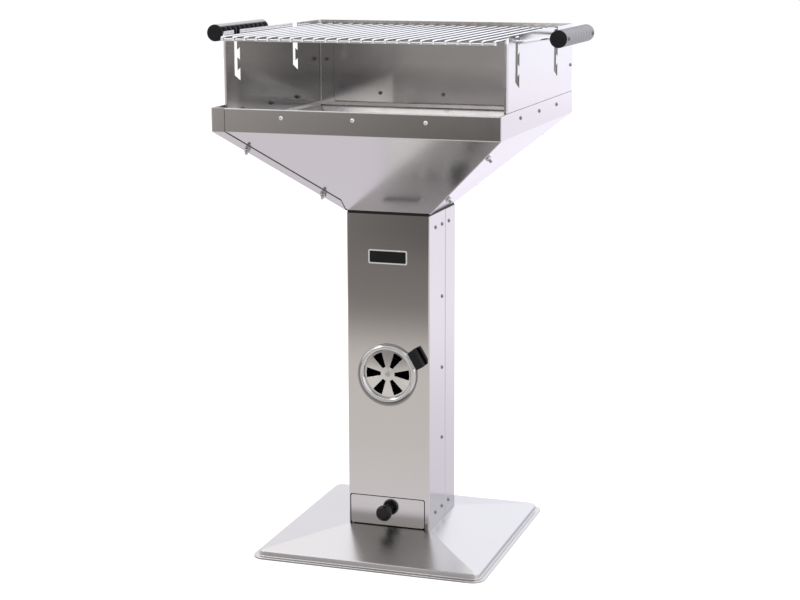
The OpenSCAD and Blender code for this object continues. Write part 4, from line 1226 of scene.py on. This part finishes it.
def make_screws(p):
    column, sizes, bowl_sheet, guard_sheet = p.column, p.fixings, p.bowl.sheet, p.guard.sheet
    half = p.column_half
    rows = seam_heights(p)
    seam = [((s * half, column.screw_line, z), (s, 0, 0)) for s in (-1, 1) for z in rows]
    offsets = ((-column.collar_screw, half), (column.collar_screw, half + column.proud))
    ends = [(s, z) for s in (-1, 1) for z in (rows[0], rows[-1])]
    collar = [((s * x, column.screw_line + y, z), (s, 0, 0)) for s, z in ends for y, x in offsets]
    shank = 3 * column.sheet + sizes.screw_tail
    fixings("seam_screws", dome_screw(p, shank), seam, seed=3)
    fixings("collar_screws", dome_screw(p, shank), collar, seed=5)

    rim = rim_places(p)
    shank = bowl_sheet + guard_sheet + sizes.screw_nut_height + sizes.screw_tail
    fixings("rim_screws", dome_screw(p, shank), round_the_sides(rim), seed=7)
    behind = []
    for i in range(4):
        depth = bowl_sheet + sizes.screw_nut_height + (guard_sheet if i else 0)
        behind += moved_places(quarter_turn(i), rim, -depth)
    nut = (sizes.screw_nut, sizes.screw_nut_height, sizes.screw)
    fixings("rim_nuts", hex_nut(*nut), behind, seed=9)

    corners = guard_places(p)
    fixings("guard_bolts", dome_screw(p, shank), corners, seed=11)
    behind = moved_places(Matrix(), corners, -2 * guard_sheet - sizes.screw_nut_height)
    fixings("guard_nuts", hex_nut(*nut), behind, seed=13)


def make_bolts(p):
    laps = round_the_sides(lap_places(p))
    fixings("bowl_bolts", hex_bolt(p), laps, seed=15)
    nut = hex_nut(p.fixings.bolt_nut, p.fixings.bolt_nut_height, p.fixings.bolt)
    fixings("bowl_nuts", nut, moved_places(Matrix(), laps, p.bowl.sheet), seed=17)


def make_grate(p):
    grate = p.grate
    reach = grate.length / 2 + grate.end_wire / 2 + grate.bar / 2 + p.WELD
    drop = p.bar_z - p.end_wire_z + 1 * MM
    hooked = [(0, -reach, -drop), (0, -reach, 0), (0, reach, 0), (0, reach, -drop)]
    bar = Shape().tube(rounded_path(hooked, 3.2 * MM, 4), grate.bar, 10).mesh("grate_bar")
    step = grate.width / (grate.bars - 1)
    start = (-grate.width / 2, p.grate_y, p.bar_z)
    mesh = laid_out("grate_bars", "row", bar, "bar", Count=grate.bars, Start=start, Step=(step, 0, 0))
    piece("grate_bars", mesh, "bar", "cooking_grate")

    half = grate.width / 2 + grate.bar / 2
    wires = Shape()
    for side in (-1, 1):
        y = p.grate_y + side * grate.length / 2
        wires.tube([(-half, y, p.end_wire_z), (half, y, p.end_wire_z)], grate.end_wire, 14)
    piece("grate_end_wires", wires.mesh("grate_end_wires"), "wire", "cooking_grate", edge=0.5 * MM)


def grip_profile(p, radius, deep, shoulder):
    """Radius and height up a ribbed grip. deep is its radius in the grooves and shoulder that beside them."""
    grate = p.grate
    side = grate.groove_width / 2
    profile = [(0, 0)]
    for i in range(grate.ribs):
        start, end = i * p.rib_pitch, (i + 1) * p.rib_pitch
        profile += [(deep, start), (deep, start + side * 0.3), (shoulder, start + side * 0.8)]
        profile += [(radius, start + side * 1.3), (radius, end - side * 1.3)]
        profile += [(shoulder, end - side * 0.8), (deep, end - side * 0.3)]
    return profile + [(deep, grate.grip_length), (0, grate.grip_length)]


def cap_profile(p, radius, deep):
    """Radius and height of a grip's end cap, with a round rim and a nearly flat end."""
    thick, bend = p.grate.cap, 1 * MM
    rim = arc((radius - bend, thick - bend), bend, 0, 90, 4)
    end = [(radius * 0.5, thick + 0.1 * MM), (0, thick + 0.15 * MM)]
    return [(0, 0), (deep, 0), (radius, 0.8 * MM), *rim, *end]


def grip_end(p, side, end, facing):
    """From a piece drawn along Z to a grip's front end (-1) or back end (1), its Z facing front or back."""
    y = p.grate_y + end * p.grate.grip_length / 2
    place = Matrix.Translation((side * p.grate.grip_reach, y, p.grip_z))
    return place @ Matrix.Rotation(-facing * RIGHT_ANGLE, 4, "X")


def make_grips(p):
    grate = p.grate
    radius = grate.grip_width / 2
    outside = p.guard_half + grate.rod + 2 * MM
    straight, inside = grate.grip_reach - radius - grate.arm, grate.grip_reach + 2 * MM
    for i, name in enumerate(("handle_rod_front", "handle_rod_back")):
        rod_y, arm_y = p.rod_y[i], p.arm_y[i]
        half = [(outside, rod_y, p.rod_z), (straight, arm_y, p.grip_z), (inside, arm_y, p.grip_z)]
        path = rounded_path([(-x, y, z) for x, y, z in half[::-1]] + half, 9 * MM, 6)
        piece(name, Shape().tube(path, grate.rod, 16).mesh(name), "wire", "cooking_grate")

    caps = Shape()
    # The left and right grips take lit and shaded copies of one finish, with painted highlights and a painted
    # sheen.
    for side, name, finish, wear in ((-1, "grip_left", "left_grip", 0.0), (1, "grip_right", "grip", 0.6)):
        # Wear takes away depth from the grooves and roundness from the ribs.
        deep, shoulder = radius - grate.groove * (1 - wear), radius - 0.25 * MM * (1 - wear)
        sleeve = Shape().lathe(grip_profile(p, radius, deep, shoulder), steps=40)
        sleeve.moved(grip_end(p, side, -1, 1))
        piece(name, sleeve.mesh(name), finish, "cooking_grate")
        for end in (-1, 1):
            cap = Shape().lathe(cap_profile(p, radius, deep), steps=40).moved(grip_end(p, side, end, end))
            caps.add(cap.points, cap.faces)
    piece("grip_caps", caps.mesh("grip_caps"), "cap", "cooking_grate")

    x = grate.grip_reach + radius
    places = [((side * x, y, p.grip_z), (side, 0, 0)) for side in (-1, 1) for y in p.arm_y]
    item = dome_screw(p, radius - 2 * MM - p.LOOSE)
    fixings("grip_screws", item, places, seed=19, body="cooking_grate", key="blackened")


def make_coal_grate(p):
    grate = p.grate
    z = p.bowl_bottom + grate.coal_rise
    thick = p.bowl.sheet / math.sin(p.bowl_tilt)
    half = p.bowl_at(0, z) - thick - (grate.coal_wire / 2 + p.LOOSE) / math.sin(p.bowl_tilt)
    corners = [(half, half, z), (-half, half, z), (-half, -half, z), (half, -half, z)]
    path = rounded_path(corners, 9 * MM, 6, closed=True)
    hoop = Shape().tube(path, grate.coal_wire, 14, closed=True)
    piece("coal_frame", hoop.mesh("coal_frame"), "grate", "coal_grate")

    bar_z = z + grate.coal_wire / 2 + grate.coal_bar / 2 + p.WELD
    bar = Shape().tube([(0, -half, 0), (0, half, 0)], grate.coal_bar, 12).mesh("coal_bar")
    first = grate.coal_wire - half
    step = (-2 * first / (grate.coal_bars - 1), 0, 0)
    start = (first, 0, bar_z)
    mesh = laid_out("coal_bars", "row", bar, "grate", Count=grate.coal_bars, Start=start, Step=step)
    piece("coal_bars", mesh, "grate", "coal_grate", edge=0.5 * MM)


def at_front(x, z):
    """From a piece drawn with its front at +Z to its place on the column's front face."""
    half = Plan().column_half
    return Matrix.Translation((x, -half, z)) @ Matrix.Rotation(RIGHT_ANGLE, 4, "X")


def damper_disc(damper, pin, low, high):
    """The domed disc with its openings, from its hole for the rivet to under the ring."""
    middle_ring = (damper.vent_inner + damper.vent_outer) / 2
    rim = damper.radius - damper.ring + damper.sheet
    rings = [pin, damper.vent_inner, middle_ring, damper.vent_outer, rim]
    half_vent = damper.vent_angle / 2
    pitch = 2 * math.pi / damper.vents
    vent_steps, bridge_steps = 6, 8
    turns, open_cells = [], set()
    for i in range(damper.vents):
        for j in range(vent_steps):
            open_cells.add(len(turns))
            turns.append(i * pitch - half_vent + damper.vent_angle * j / vent_steps)
        for j in range(bridge_steps):
            turns.append(i * pitch + half_vent + (pitch - damper.vent_angle) * j / bridge_steps)
    n = len(turns)
    points = [(r * math.cos(t), r * math.sin(t)) for r in rings for t in turns]
    faces = []
    for k in range(len(rings) - 1):
        for j in range(n):
            if k not in (1, 2) or j not in open_cells:
                m = (j + 1) % n
                faces.append([k * n + j, (k + 1) * n + j, (k + 1) * n + m, k * n + m])
    disc = Shape().slab(points, faces, low, high)
    for q in disc.points:
        q.z += damper.dome * (1 - (q.xy.length / rim) ** 2)
    return disc


def damper_ring(damper, low):
    """The ring with its round crest, as a shell of the sheet's thickness."""
    half = damper.ring / 2
    middle, straight = damper.radius - half, low + damper.ring_height - half
    inner = half - damper.sheet
    profile = [(middle + half, low), *arc((middle, straight), half, 0, 180, 12), (middle - half, low)]
    profile += [(middle - inner, low), *arc((middle, straight), inner, 180, 0, 8), (middle + inner, low)]
    return Shape().lathe(profile, steps=96, closed=True)


def damper_grip(damper, centre, low):
    """The moulded grip, drawn in at its top and with five small ribs on it."""
    tall = damper.grip_height
    levels = [(0, 0.5 * MM), (0.5 * MM, 0), (tall - 2.4 * MM, 0.3 * MM)]
    levels += [(tall - 1.2 * MM, 0.8 * MM), (tall - 0.3 * MM, 1.8 * MM), (tall, 3.2 * MM)]
    rings = []
    for height, inset in levels:
        half_x, half_y = damper.grip_width / 2 - inset, damper.grip_length / 2 - inset
        outline = rounded_rectangle(half_x, half_y, 2.4 * MM, 5, (centre, 0))
        rings.append([(x, y, low + height) for x, y in outline])
    grip = Shape().loft(rings, caps=True)
    rib_half, rib_pitch, rib_z = 6.4 * MM, 4 * MM, low + tall - 0.1 * MM
    for i in (-2, -1, 0, 1, 2):
        grip.tube([(centre + s * rib_half, i * rib_pitch, rib_z) for s in (-1, 1)], 1.3 * MM, 8)
    return grip


def make_damper(p):
    damper = p.damper
    here = at_front(0, p.damper_z)
    piece("damper_seat", plain_copy("damper_seat"), "sheet", edge=0.2 * MM)

    low = damper.sheet + p.LOOSE
    high = low + damper.sheet
    pin = 3 * MM
    disc = damper_disc(damper, pin, low, high).moved(here)
    piece("damper_disc", disc.mesh("damper_disc"), "pressing", "damper", edge=0.25 * MM)
    ring = damper_ring(damper, low).moved(here)
    piece("damper_ring", ring.mesh("damper_ring"), "ring", "damper", node="damper_disc", edge=0.2 * MM)

    # The tab runs out from the ring, under the grip. Its fold stands up between ring and grip.
    turn = here @ Matrix.Rotation(damper.grip_angle, 4, "Z")
    tab_low, tab_high = low + 4 * MM, low + 5.5 * MM
    tab_start, grip_start = damper.radius - damper.ring / 2, damper.radius + 3.7 * MM
    tab_end, tab_half = grip_start + 10 * MM, damper.grip_length / 2 - 1 * MM
    middle = ((tab_end + tab_start) / 2, 0)
    outline = rounded_rectangle((tab_end - tab_start) / 2, tab_half, 2 * MM, 3, middle)
    tab = Shape().plate(outline, tab_low, tab_high).moved(turn)
    piece("damper_tab", tab.mesh("damper_tab"), "pressing", "damper", node="damper_disc", edge=0.25 * MM)
    outline = rounded_rectangle(0.75 * MM, tab_half, 0.5 * MM, 2, (grip_start - 1.05 * MM, 0))
    fold_low, fold_high = tab_high - 0.2 * MM, tab_high + damper.grip_height - 3 * MM
    fold = Shape().plate(outline, fold_low, fold_high).moved(turn)
    piece("damper_fold", fold.mesh("damper_fold"), "pressing", "damper", node="damper_disc")
    grip = damper_grip(damper, grip_start + damper.grip_width / 2, tab_high).moved(turn)
    piece("damper_grip", grip.mesh("damper_grip"), "cap", "damper")

    head, top, shank = 5 * MM, high + damper.dome + p.WELD, pin - p.WELD
    head_side, head_dome, tail, bevel = 0.4 * MM, 1.6 * MM, 2 * MM, 0.4 * MM
    turns = [RIGHT_ANGLE * (1 - i / 6) for i in range(6)]
    dome = [(head * math.sin(t), top + head_side + head_dome * math.cos(t)) for t in turns]
    profile = [(0, -tail), (head - bevel, -tail), (head, bevel - tail), (head, -0.1 * MM), (shank, 0)]
    profile += [(shank, top), (head, top), *dome, (0, top + head_side + head_dome)]
    rivet = Shape().lathe(profile, steps=32).moved(here)
    piece("damper_rivet", rivet.mesh("damper_rivet"), "rivet")


def make_drawer(p):
    drawer, sheet = p.drawer, p.column.sheet
    here = at_front(drawer.centre, p.foot.height + drawer.lift + drawer.height / 2)
    play, corner = 0.4 * MM, 4 * MM
    outline = rounded_rectangle(drawer.width / 2 - play, drawer.height / 2 - play, corner)
    front = Shape().plate(outline, -sheet, 0).moved(here)
    piece("drawer_front", front.mesh("drawer_front"), "sheet", "drawer", edge=0.3 * MM, cut=sheet)
    piece("drawer_tray", plain_copy("drawer_tray"), "sooted", "drawer", edge=0.3 * MM)

    head, deep, neck = drawer.knob_width / 2, drawer.knob_length, drawer.knob_width * 0.24
    rough = [(neck + 2 * MM, 0), (neck, 3 * MM), (neck, deep * 0.35), (head - 2 * MM, deep * 0.5)]
    rough += [(head, deep * 0.62), (head, deep * 0.8), (head - 2.5 * MM, deep * 0.94)]
    rough += [(head * 0.55, deep), (0, deep)]
    profile = [(0, 0), *rounded_profile(rough, 1.8 * MM, 3)]
    knob = Shape().lathe(profile, steps=48).moved(at_front(drawer.centre, p.knob_z))
    piece("drawer_knob", knob.mesh("drawer_knob"), "knob", "drawer")

    tray_sheet, hidden = 1.2 * MM, 11.7 * MM
    inside = ((drawer.centre, sheet + tray_sheet - p.column_half, p.knob_z), (0, 1, 0))
    fixings("drawer_screw", dome_screw(p, sheet + tray_sheet + hidden), [inside], seed=21, body="drawer")


def make_plate(p):
    drawer = p.drawer
    here = at_front(0, p.column_top - drawer.plate_drop)
    # Each layer: its name, finish, distance from the plate's edge, corner radius, two faces and rounding.
    layers = (
        ("name_plate", "border", 0, 3 * MM, 0, 0.8 * MM, 0.25 * MM),
        ("name_plate_field", "plate", drawer.plate_border, 1.6 * MM, 0.78 * MM, 1 * MM, 0.08 * MM),
    )
    for name, key, inset, corner, low, high, edge in layers:
        outline = rounded_rectangle(drawer.plate_width / 2 - inset, drawer.plate_height / 2 - inset, corner)
        layer = Shape().plate(outline, low, high).moved(here)
        piece(name, layer.mesh(name), key, node="name_plate", edge=edge)


# --- stage --------------------------------------------------------------------------------------------


def make_world():
    world = bpy.data.worlds.new("studio")
    bpy.context.scene.world = world
    f = Finish(world)
    x, y, z = f.split(f.node("ShaderNodeTexCoord", output="Generated"))
    is_camera, is_glossy = f.rays()
    # x, y and z are the parts of a direction. The side that the camera stands on is a dim room: dark ground,
    # walls that are lighter at the right, a low window, a pale left end and a long light panel above.
    ground, above_ground = (0.086, 0.077, 0.074), (0.198, 0.186, 0.18)
    wall_left, wall_right = (0.46, 0.44, 0.435), (0.64, 0.625, 0.615)
    window_light, left_light, panel_light = (1.08, 1.06, 1.05), (0.96, 0.92, 0.89), (1.08, 1.07, 1.06)
    level = f.blend(x.step(-0.3, 0.4), wall_left, wall_right)
    dim = f.blend(z.step(-0.1, -0.06), ground, level)
    dim = f.blend(z.step(0.0, 0.12), dim, above_ground)
    window = x.step(-0.28, -0.2) * z.step(-0.062, -0.046) * (1.0 - z.step(0.12, 0.2))
    dim = f.blend(window, dim, window_light)
    dim = f.blend((0.0 - x).step(0.2, 0.7), dim, left_light)
    dim = f.blend(z.step(0.12, 0.2) * (1.0 - z.step(0.42, 0.6)), dim, panel_light)
    # The other sides and the ceiling are white: brighter at the right and overhead, brightest overhead at the
    # left.
    back_left, back_right = (1.3, 1.29, 1.35), (1.57, 1.6, 1.74)
    overhead, overhead_left = (1.75, 1.74, 1.8), (2.6, 2.58, 2.64)
    bright = f.blend((x + y * 0.5).step(0.05, 0.4), back_left, back_right)
    bright = f.blend((0.0 - x).step(-0.6, 0.2) * z.step(0.45, 0.8), bright, overhead)
    bright = f.blend((0.0 - x).step(0.35, 0.5) * z.step(0.68, 0.8), bright, overhead_left)
    front = (0.0 - y - x.step(0.0, 1.0) * 0.6).step(0.1, 0.5) * (1.0 - z.step(0.68, 0.82))
    plain, white = (0.78, 0.78, 0.79), (1.0, 1.0, 1.0)
    colour = f.blend(is_glossy, plain, f.blend(front, bright, dim))
    background = f.node("ShaderNodeBackground", None, {"Color": f.blend(is_camera, colour, white)})
    f.node("ShaderNodeOutputWorld", None, {"Surface": background})


def make_floor(p):
    reach, front = 12.0, -3.0
    mesh = bpy.data.meshes.new("floor")
    corners = [(-reach, front, 0), (reach, front, 0), (reach, reach, 0), (-reach, reach, 0)]
    mesh.from_pydata(corners, [], [(0, 1, 2, 3)])
    floor = in_scene(bpy.data.objects.new("floor", mesh))
    floor.location.z = -0.5 * MM
    f = Finish(bpy.data.materials.new("pale_floor"))
    is_camera, is_glossy = f.rays()
    x, y, _ = f.coordinates()
    # In mirrors the floor ends softly in front, grows lighter to the back and is shaded close to the foot, in
    # front and at the left.
    front_level, paper_rise, far_rise, contact_level = 0.936, 0.132, 0.16, 0.45
    behind = y.step(0.0, 2.0) * (x.step(-0.4, 0.8) * 0.2 + 0.15)
    lit = y.step(-1.0, 0.0) * paper_rise + y.step(7.8, 9.5) * far_rise + behind + front_level
    beside = (x + 70 * MM).larger(y + 70 * MM).larger(45 * MM - x).larger(0.0 - y) - p.foot_half
    lit = lit * (beside.step(12 * MM, 65 * MM) * (1 - contact_level) + contact_level)
    warm, cool, room = (1.02, 0.975, 0.935), (1.0, 0.96, 1.06), (0.312, 0.288, 0.276)
    paper = f.glow(f.blend(y.step(-1.0, 0.3), warm, cool), lit)
    paper_end = (y + x.step(-0.3, 1.5) * 2.5).step(-2.15, -1.42)
    mirrored = f.node("ShaderNodeMixShader", None, {0: paper_end, 1: f.glow(room), 2: paper})
    diffuse = f.node("ShaderNodeBsdfDiffuse", None, {"Color": (0.86, 0.86, 0.87)})
    lift = f.glow((1.0, 1.0, 1.0), is_camera * 0.5)
    seen = f.node("ShaderNodeAddShader", None, {0: diffuse, 1: lift})
    both = f.node("ShaderNodeMixShader", None, {0: is_glossy, 1: seen, 2: mirrored})
    f.node("ShaderNodeOutputMaterial", None, {"Surface": both})
    mesh.materials.append(f.owner)


def make_lamp(name, place, target, width, height, watts):
    lamp = bpy.data.lights.new(name, "AREA")
    lamp.shape, lamp.size, lamp.size_y = "RECTANGLE", width, height
    lamp.energy = watts
    obj = in_scene(bpy.data.objects.new(name, lamp))
    obj.location = place
    obj.rotation_mode = "QUATERNION"
    obj.rotation_quaternion = (Vector(target) - Vector(place)).to_track_quat("-Z", "Y")
    return obj


def make_camera():
    azimuth, elevation, distance = math.radians(17.69), math.radians(11.40), 3.262
    target = Vector((0.0564, 0.0002, 0.4854))
    flat = math.cos(elevation)
    back = Vector((math.sin(azimuth) * flat, -math.cos(azimuth) * flat, math.sin(elevation)))
    data = bpy.data.cameras.new("camera")
    data.sensor_width, data.lens = 36.0, 78.57
    data.shift_x, data.shift_y = -0.0381, -0.0156
    data.clip_start, data.clip_end = 0.05, 60.0
    camera = in_scene(bpy.data.objects.new("camera", data))
    camera.location = target + back * distance
    camera.rotation_mode = "QUATERNION"
    camera.rotation_quaternion = (-back).to_track_quat("-Z", "Y")
    bpy.context.scene.camera = camera


def make_stage(p):
    bpy.context.scene.view_settings.view_transform = "Standard"
    make_camera()
    make_world()
    make_floor(p)
    middle = (0, 0, 0.6)
    ceiling = make_lamp("ceiling", (0.3, -0.4, 3.2), middle, width=3.0, height=3.0, watts=34)
    ceiling.visible_glossy = False
    make_lamp("left_front", (-2.2, -2.6, 2.4), middle, width=0.7, height=1.2, watts=12)


# --- add-on -------------------------------------------------------------------------------------------


class BARBECUE_OT_stage(bpy.types.Operator):
    """Make the floor, the world, the lamps and the camera"""

    bl_idname = "barbecue.stage"
    bl_label = "Stage"

    def execute(self, context):
        make_stage(Plan())
        return {"FINISHED"}


class BARBECUE_OT_foot(bpy.types.Operator):
    """Make the pressed foot"""

    bl_idname = "barbecue.foot"
    bl_label = "Foot"

    def execute(self, context):
        make_foot(Plan())
        return {"FINISHED"}


class BARBECUE_OT_column(bpy.types.Operator):
    """Make the column's two sheets and its collars"""

    bl_idname = "barbecue.column"
    bl_label = "Column"

    def execute(self, context):
        make_column(Plan())
        return {"FINISHED"}


class BARBECUE_OT_bowl(bpy.types.Operator):
    """Make the four panels of the fire bowl"""

    bl_idname = "barbecue.bowl"
    bl_label = "Bowl"

    def execute(self, context):
        make_bowl(Plan())
        return {"FINISHED"}


class BARBECUE_OT_guard(bpy.types.Operator):
    """Make the three walls of the wind guard"""

    bl_idname = "barbecue.guard"
    bl_label = "Wind guard"

    def execute(self, context):
        make_guard(Plan())
        return {"FINISHED"}


class BARBECUE_OT_screws(bpy.types.Operator):
    """Make the screws of the column, the band and the guard, and their nuts"""

    bl_idname = "barbecue.screws"
    bl_label = "Screws"

    def execute(self, context):
        make_screws(Plan())
        return {"FINISHED"}


class BARBECUE_OT_bolts(bpy.types.Operator):
    """Make the bolts and nuts at the bowl's corners"""

    bl_idname = "barbecue.bolts"
    bl_label = "Bolts"

    def execute(self, context):
        make_bolts(Plan())
        return {"FINISHED"}


class BARBECUE_OT_grate(bpy.types.Operator):
    """Make the bars and end wires of the cooking grate"""

    bl_idname = "barbecue.grate"
    bl_label = "Cooking grate"

    def execute(self, context):
        make_grate(Plan())
        return {"FINISHED"}


class BARBECUE_OT_grips(bpy.types.Operator):
    """Make the rods, the ribbed grips, their caps and their screws"""

    bl_idname = "barbecue.grips"
    bl_label = "Grips"

    def execute(self, context):
        make_grips(Plan())
        return {"FINISHED"}


class BARBECUE_OT_coal_grate(bpy.types.Operator):
    """Make the charcoal grate"""

    bl_idname = "barbecue.coal_grate"
    bl_label = "Charcoal grate"

    def execute(self, context):
        make_coal_grate(Plan())
        return {"FINISHED"}


class BARBECUE_OT_damper(bpy.types.Operator):
    """Make the air damper: its seat, disc, ring, tab, fold, grip and rivet"""

    bl_idname = "barbecue.damper"
    bl_label = "Damper"

    def execute(self, context):
        make_damper(Plan())
        return {"FINISHED"}


class BARBECUE_OT_drawer(bpy.types.Operator):
    """Make the ash drawer, its knob and its screw"""

    bl_idname = "barbecue.drawer"
    bl_label = "Ash drawer"

    def execute(self, context):
        make_drawer(Plan())
        return {"FINISHED"}


class BARBECUE_OT_plate(bpy.types.Operator):
    """Make the blank name plate"""

    bl_idname = "barbecue.plate"
    bl_label = "Name plate"

    def execute(self, context):
        make_plate(Plan())
        return {"FINISHED"}


OPERATORS = (
    BARBECUE_OT_stage,
    BARBECUE_OT_foot,
    BARBECUE_OT_column,
    BARBECUE_OT_bowl,
    BARBECUE_OT_guard,
    BARBECUE_OT_screws,
    BARBECUE_OT_bolts,
    BARBECUE_OT_grate,
    BARBECUE_OT_grips,
    BARBECUE_OT_coal_grate,
    BARBECUE_OT_damper,
    BARBECUE_OT_drawer,
    BARBECUE_OT_plate,
)


class BARBECUE_PT_panel(bpy.types.Panel):
    """Lists the steps and the sizes"""

    bl_idname = "BARBECUE_PT_panel"
    bl_label = "Pedestal barbecue"
    bl_space_type = "VIEW_3D"
    bl_region_type = "UI"
    bl_category = "Barbecue"

    def draw(self, context):
        for operator in OPERATORS:
            self.layout.operator(operator.bl_idname)
        for name, group in GROUPS.items():
            box = self.layout.box()
            box.label(text=group.__doc__)
            for entry in group.__annotations__:
                box.prop(getattr(context.scene.barbecue, name), entry)


CLASSES = (*GROUPS.values(), BARBECUE_PG_all, *OPERATORS, BARBECUE_PT_panel)


def register():
    for cls in CLASSES:
        bpy.utils.register_class(cls)
    bpy.types.Scene.barbecue = bpy.props.PointerProperty(type=BARBECUE_PG_all)


def unregister():
    del bpy.types.Scene.barbecue
    for cls in reversed(CLASSES):
        bpy.utils.unregister_class(cls)


def main():
    register()
    for operator in OPERATORS:
        getattr(bpy.ops.barbecue, operator.bl_idname.split(".")[1])()


if __name__ == "__main__":
    main()
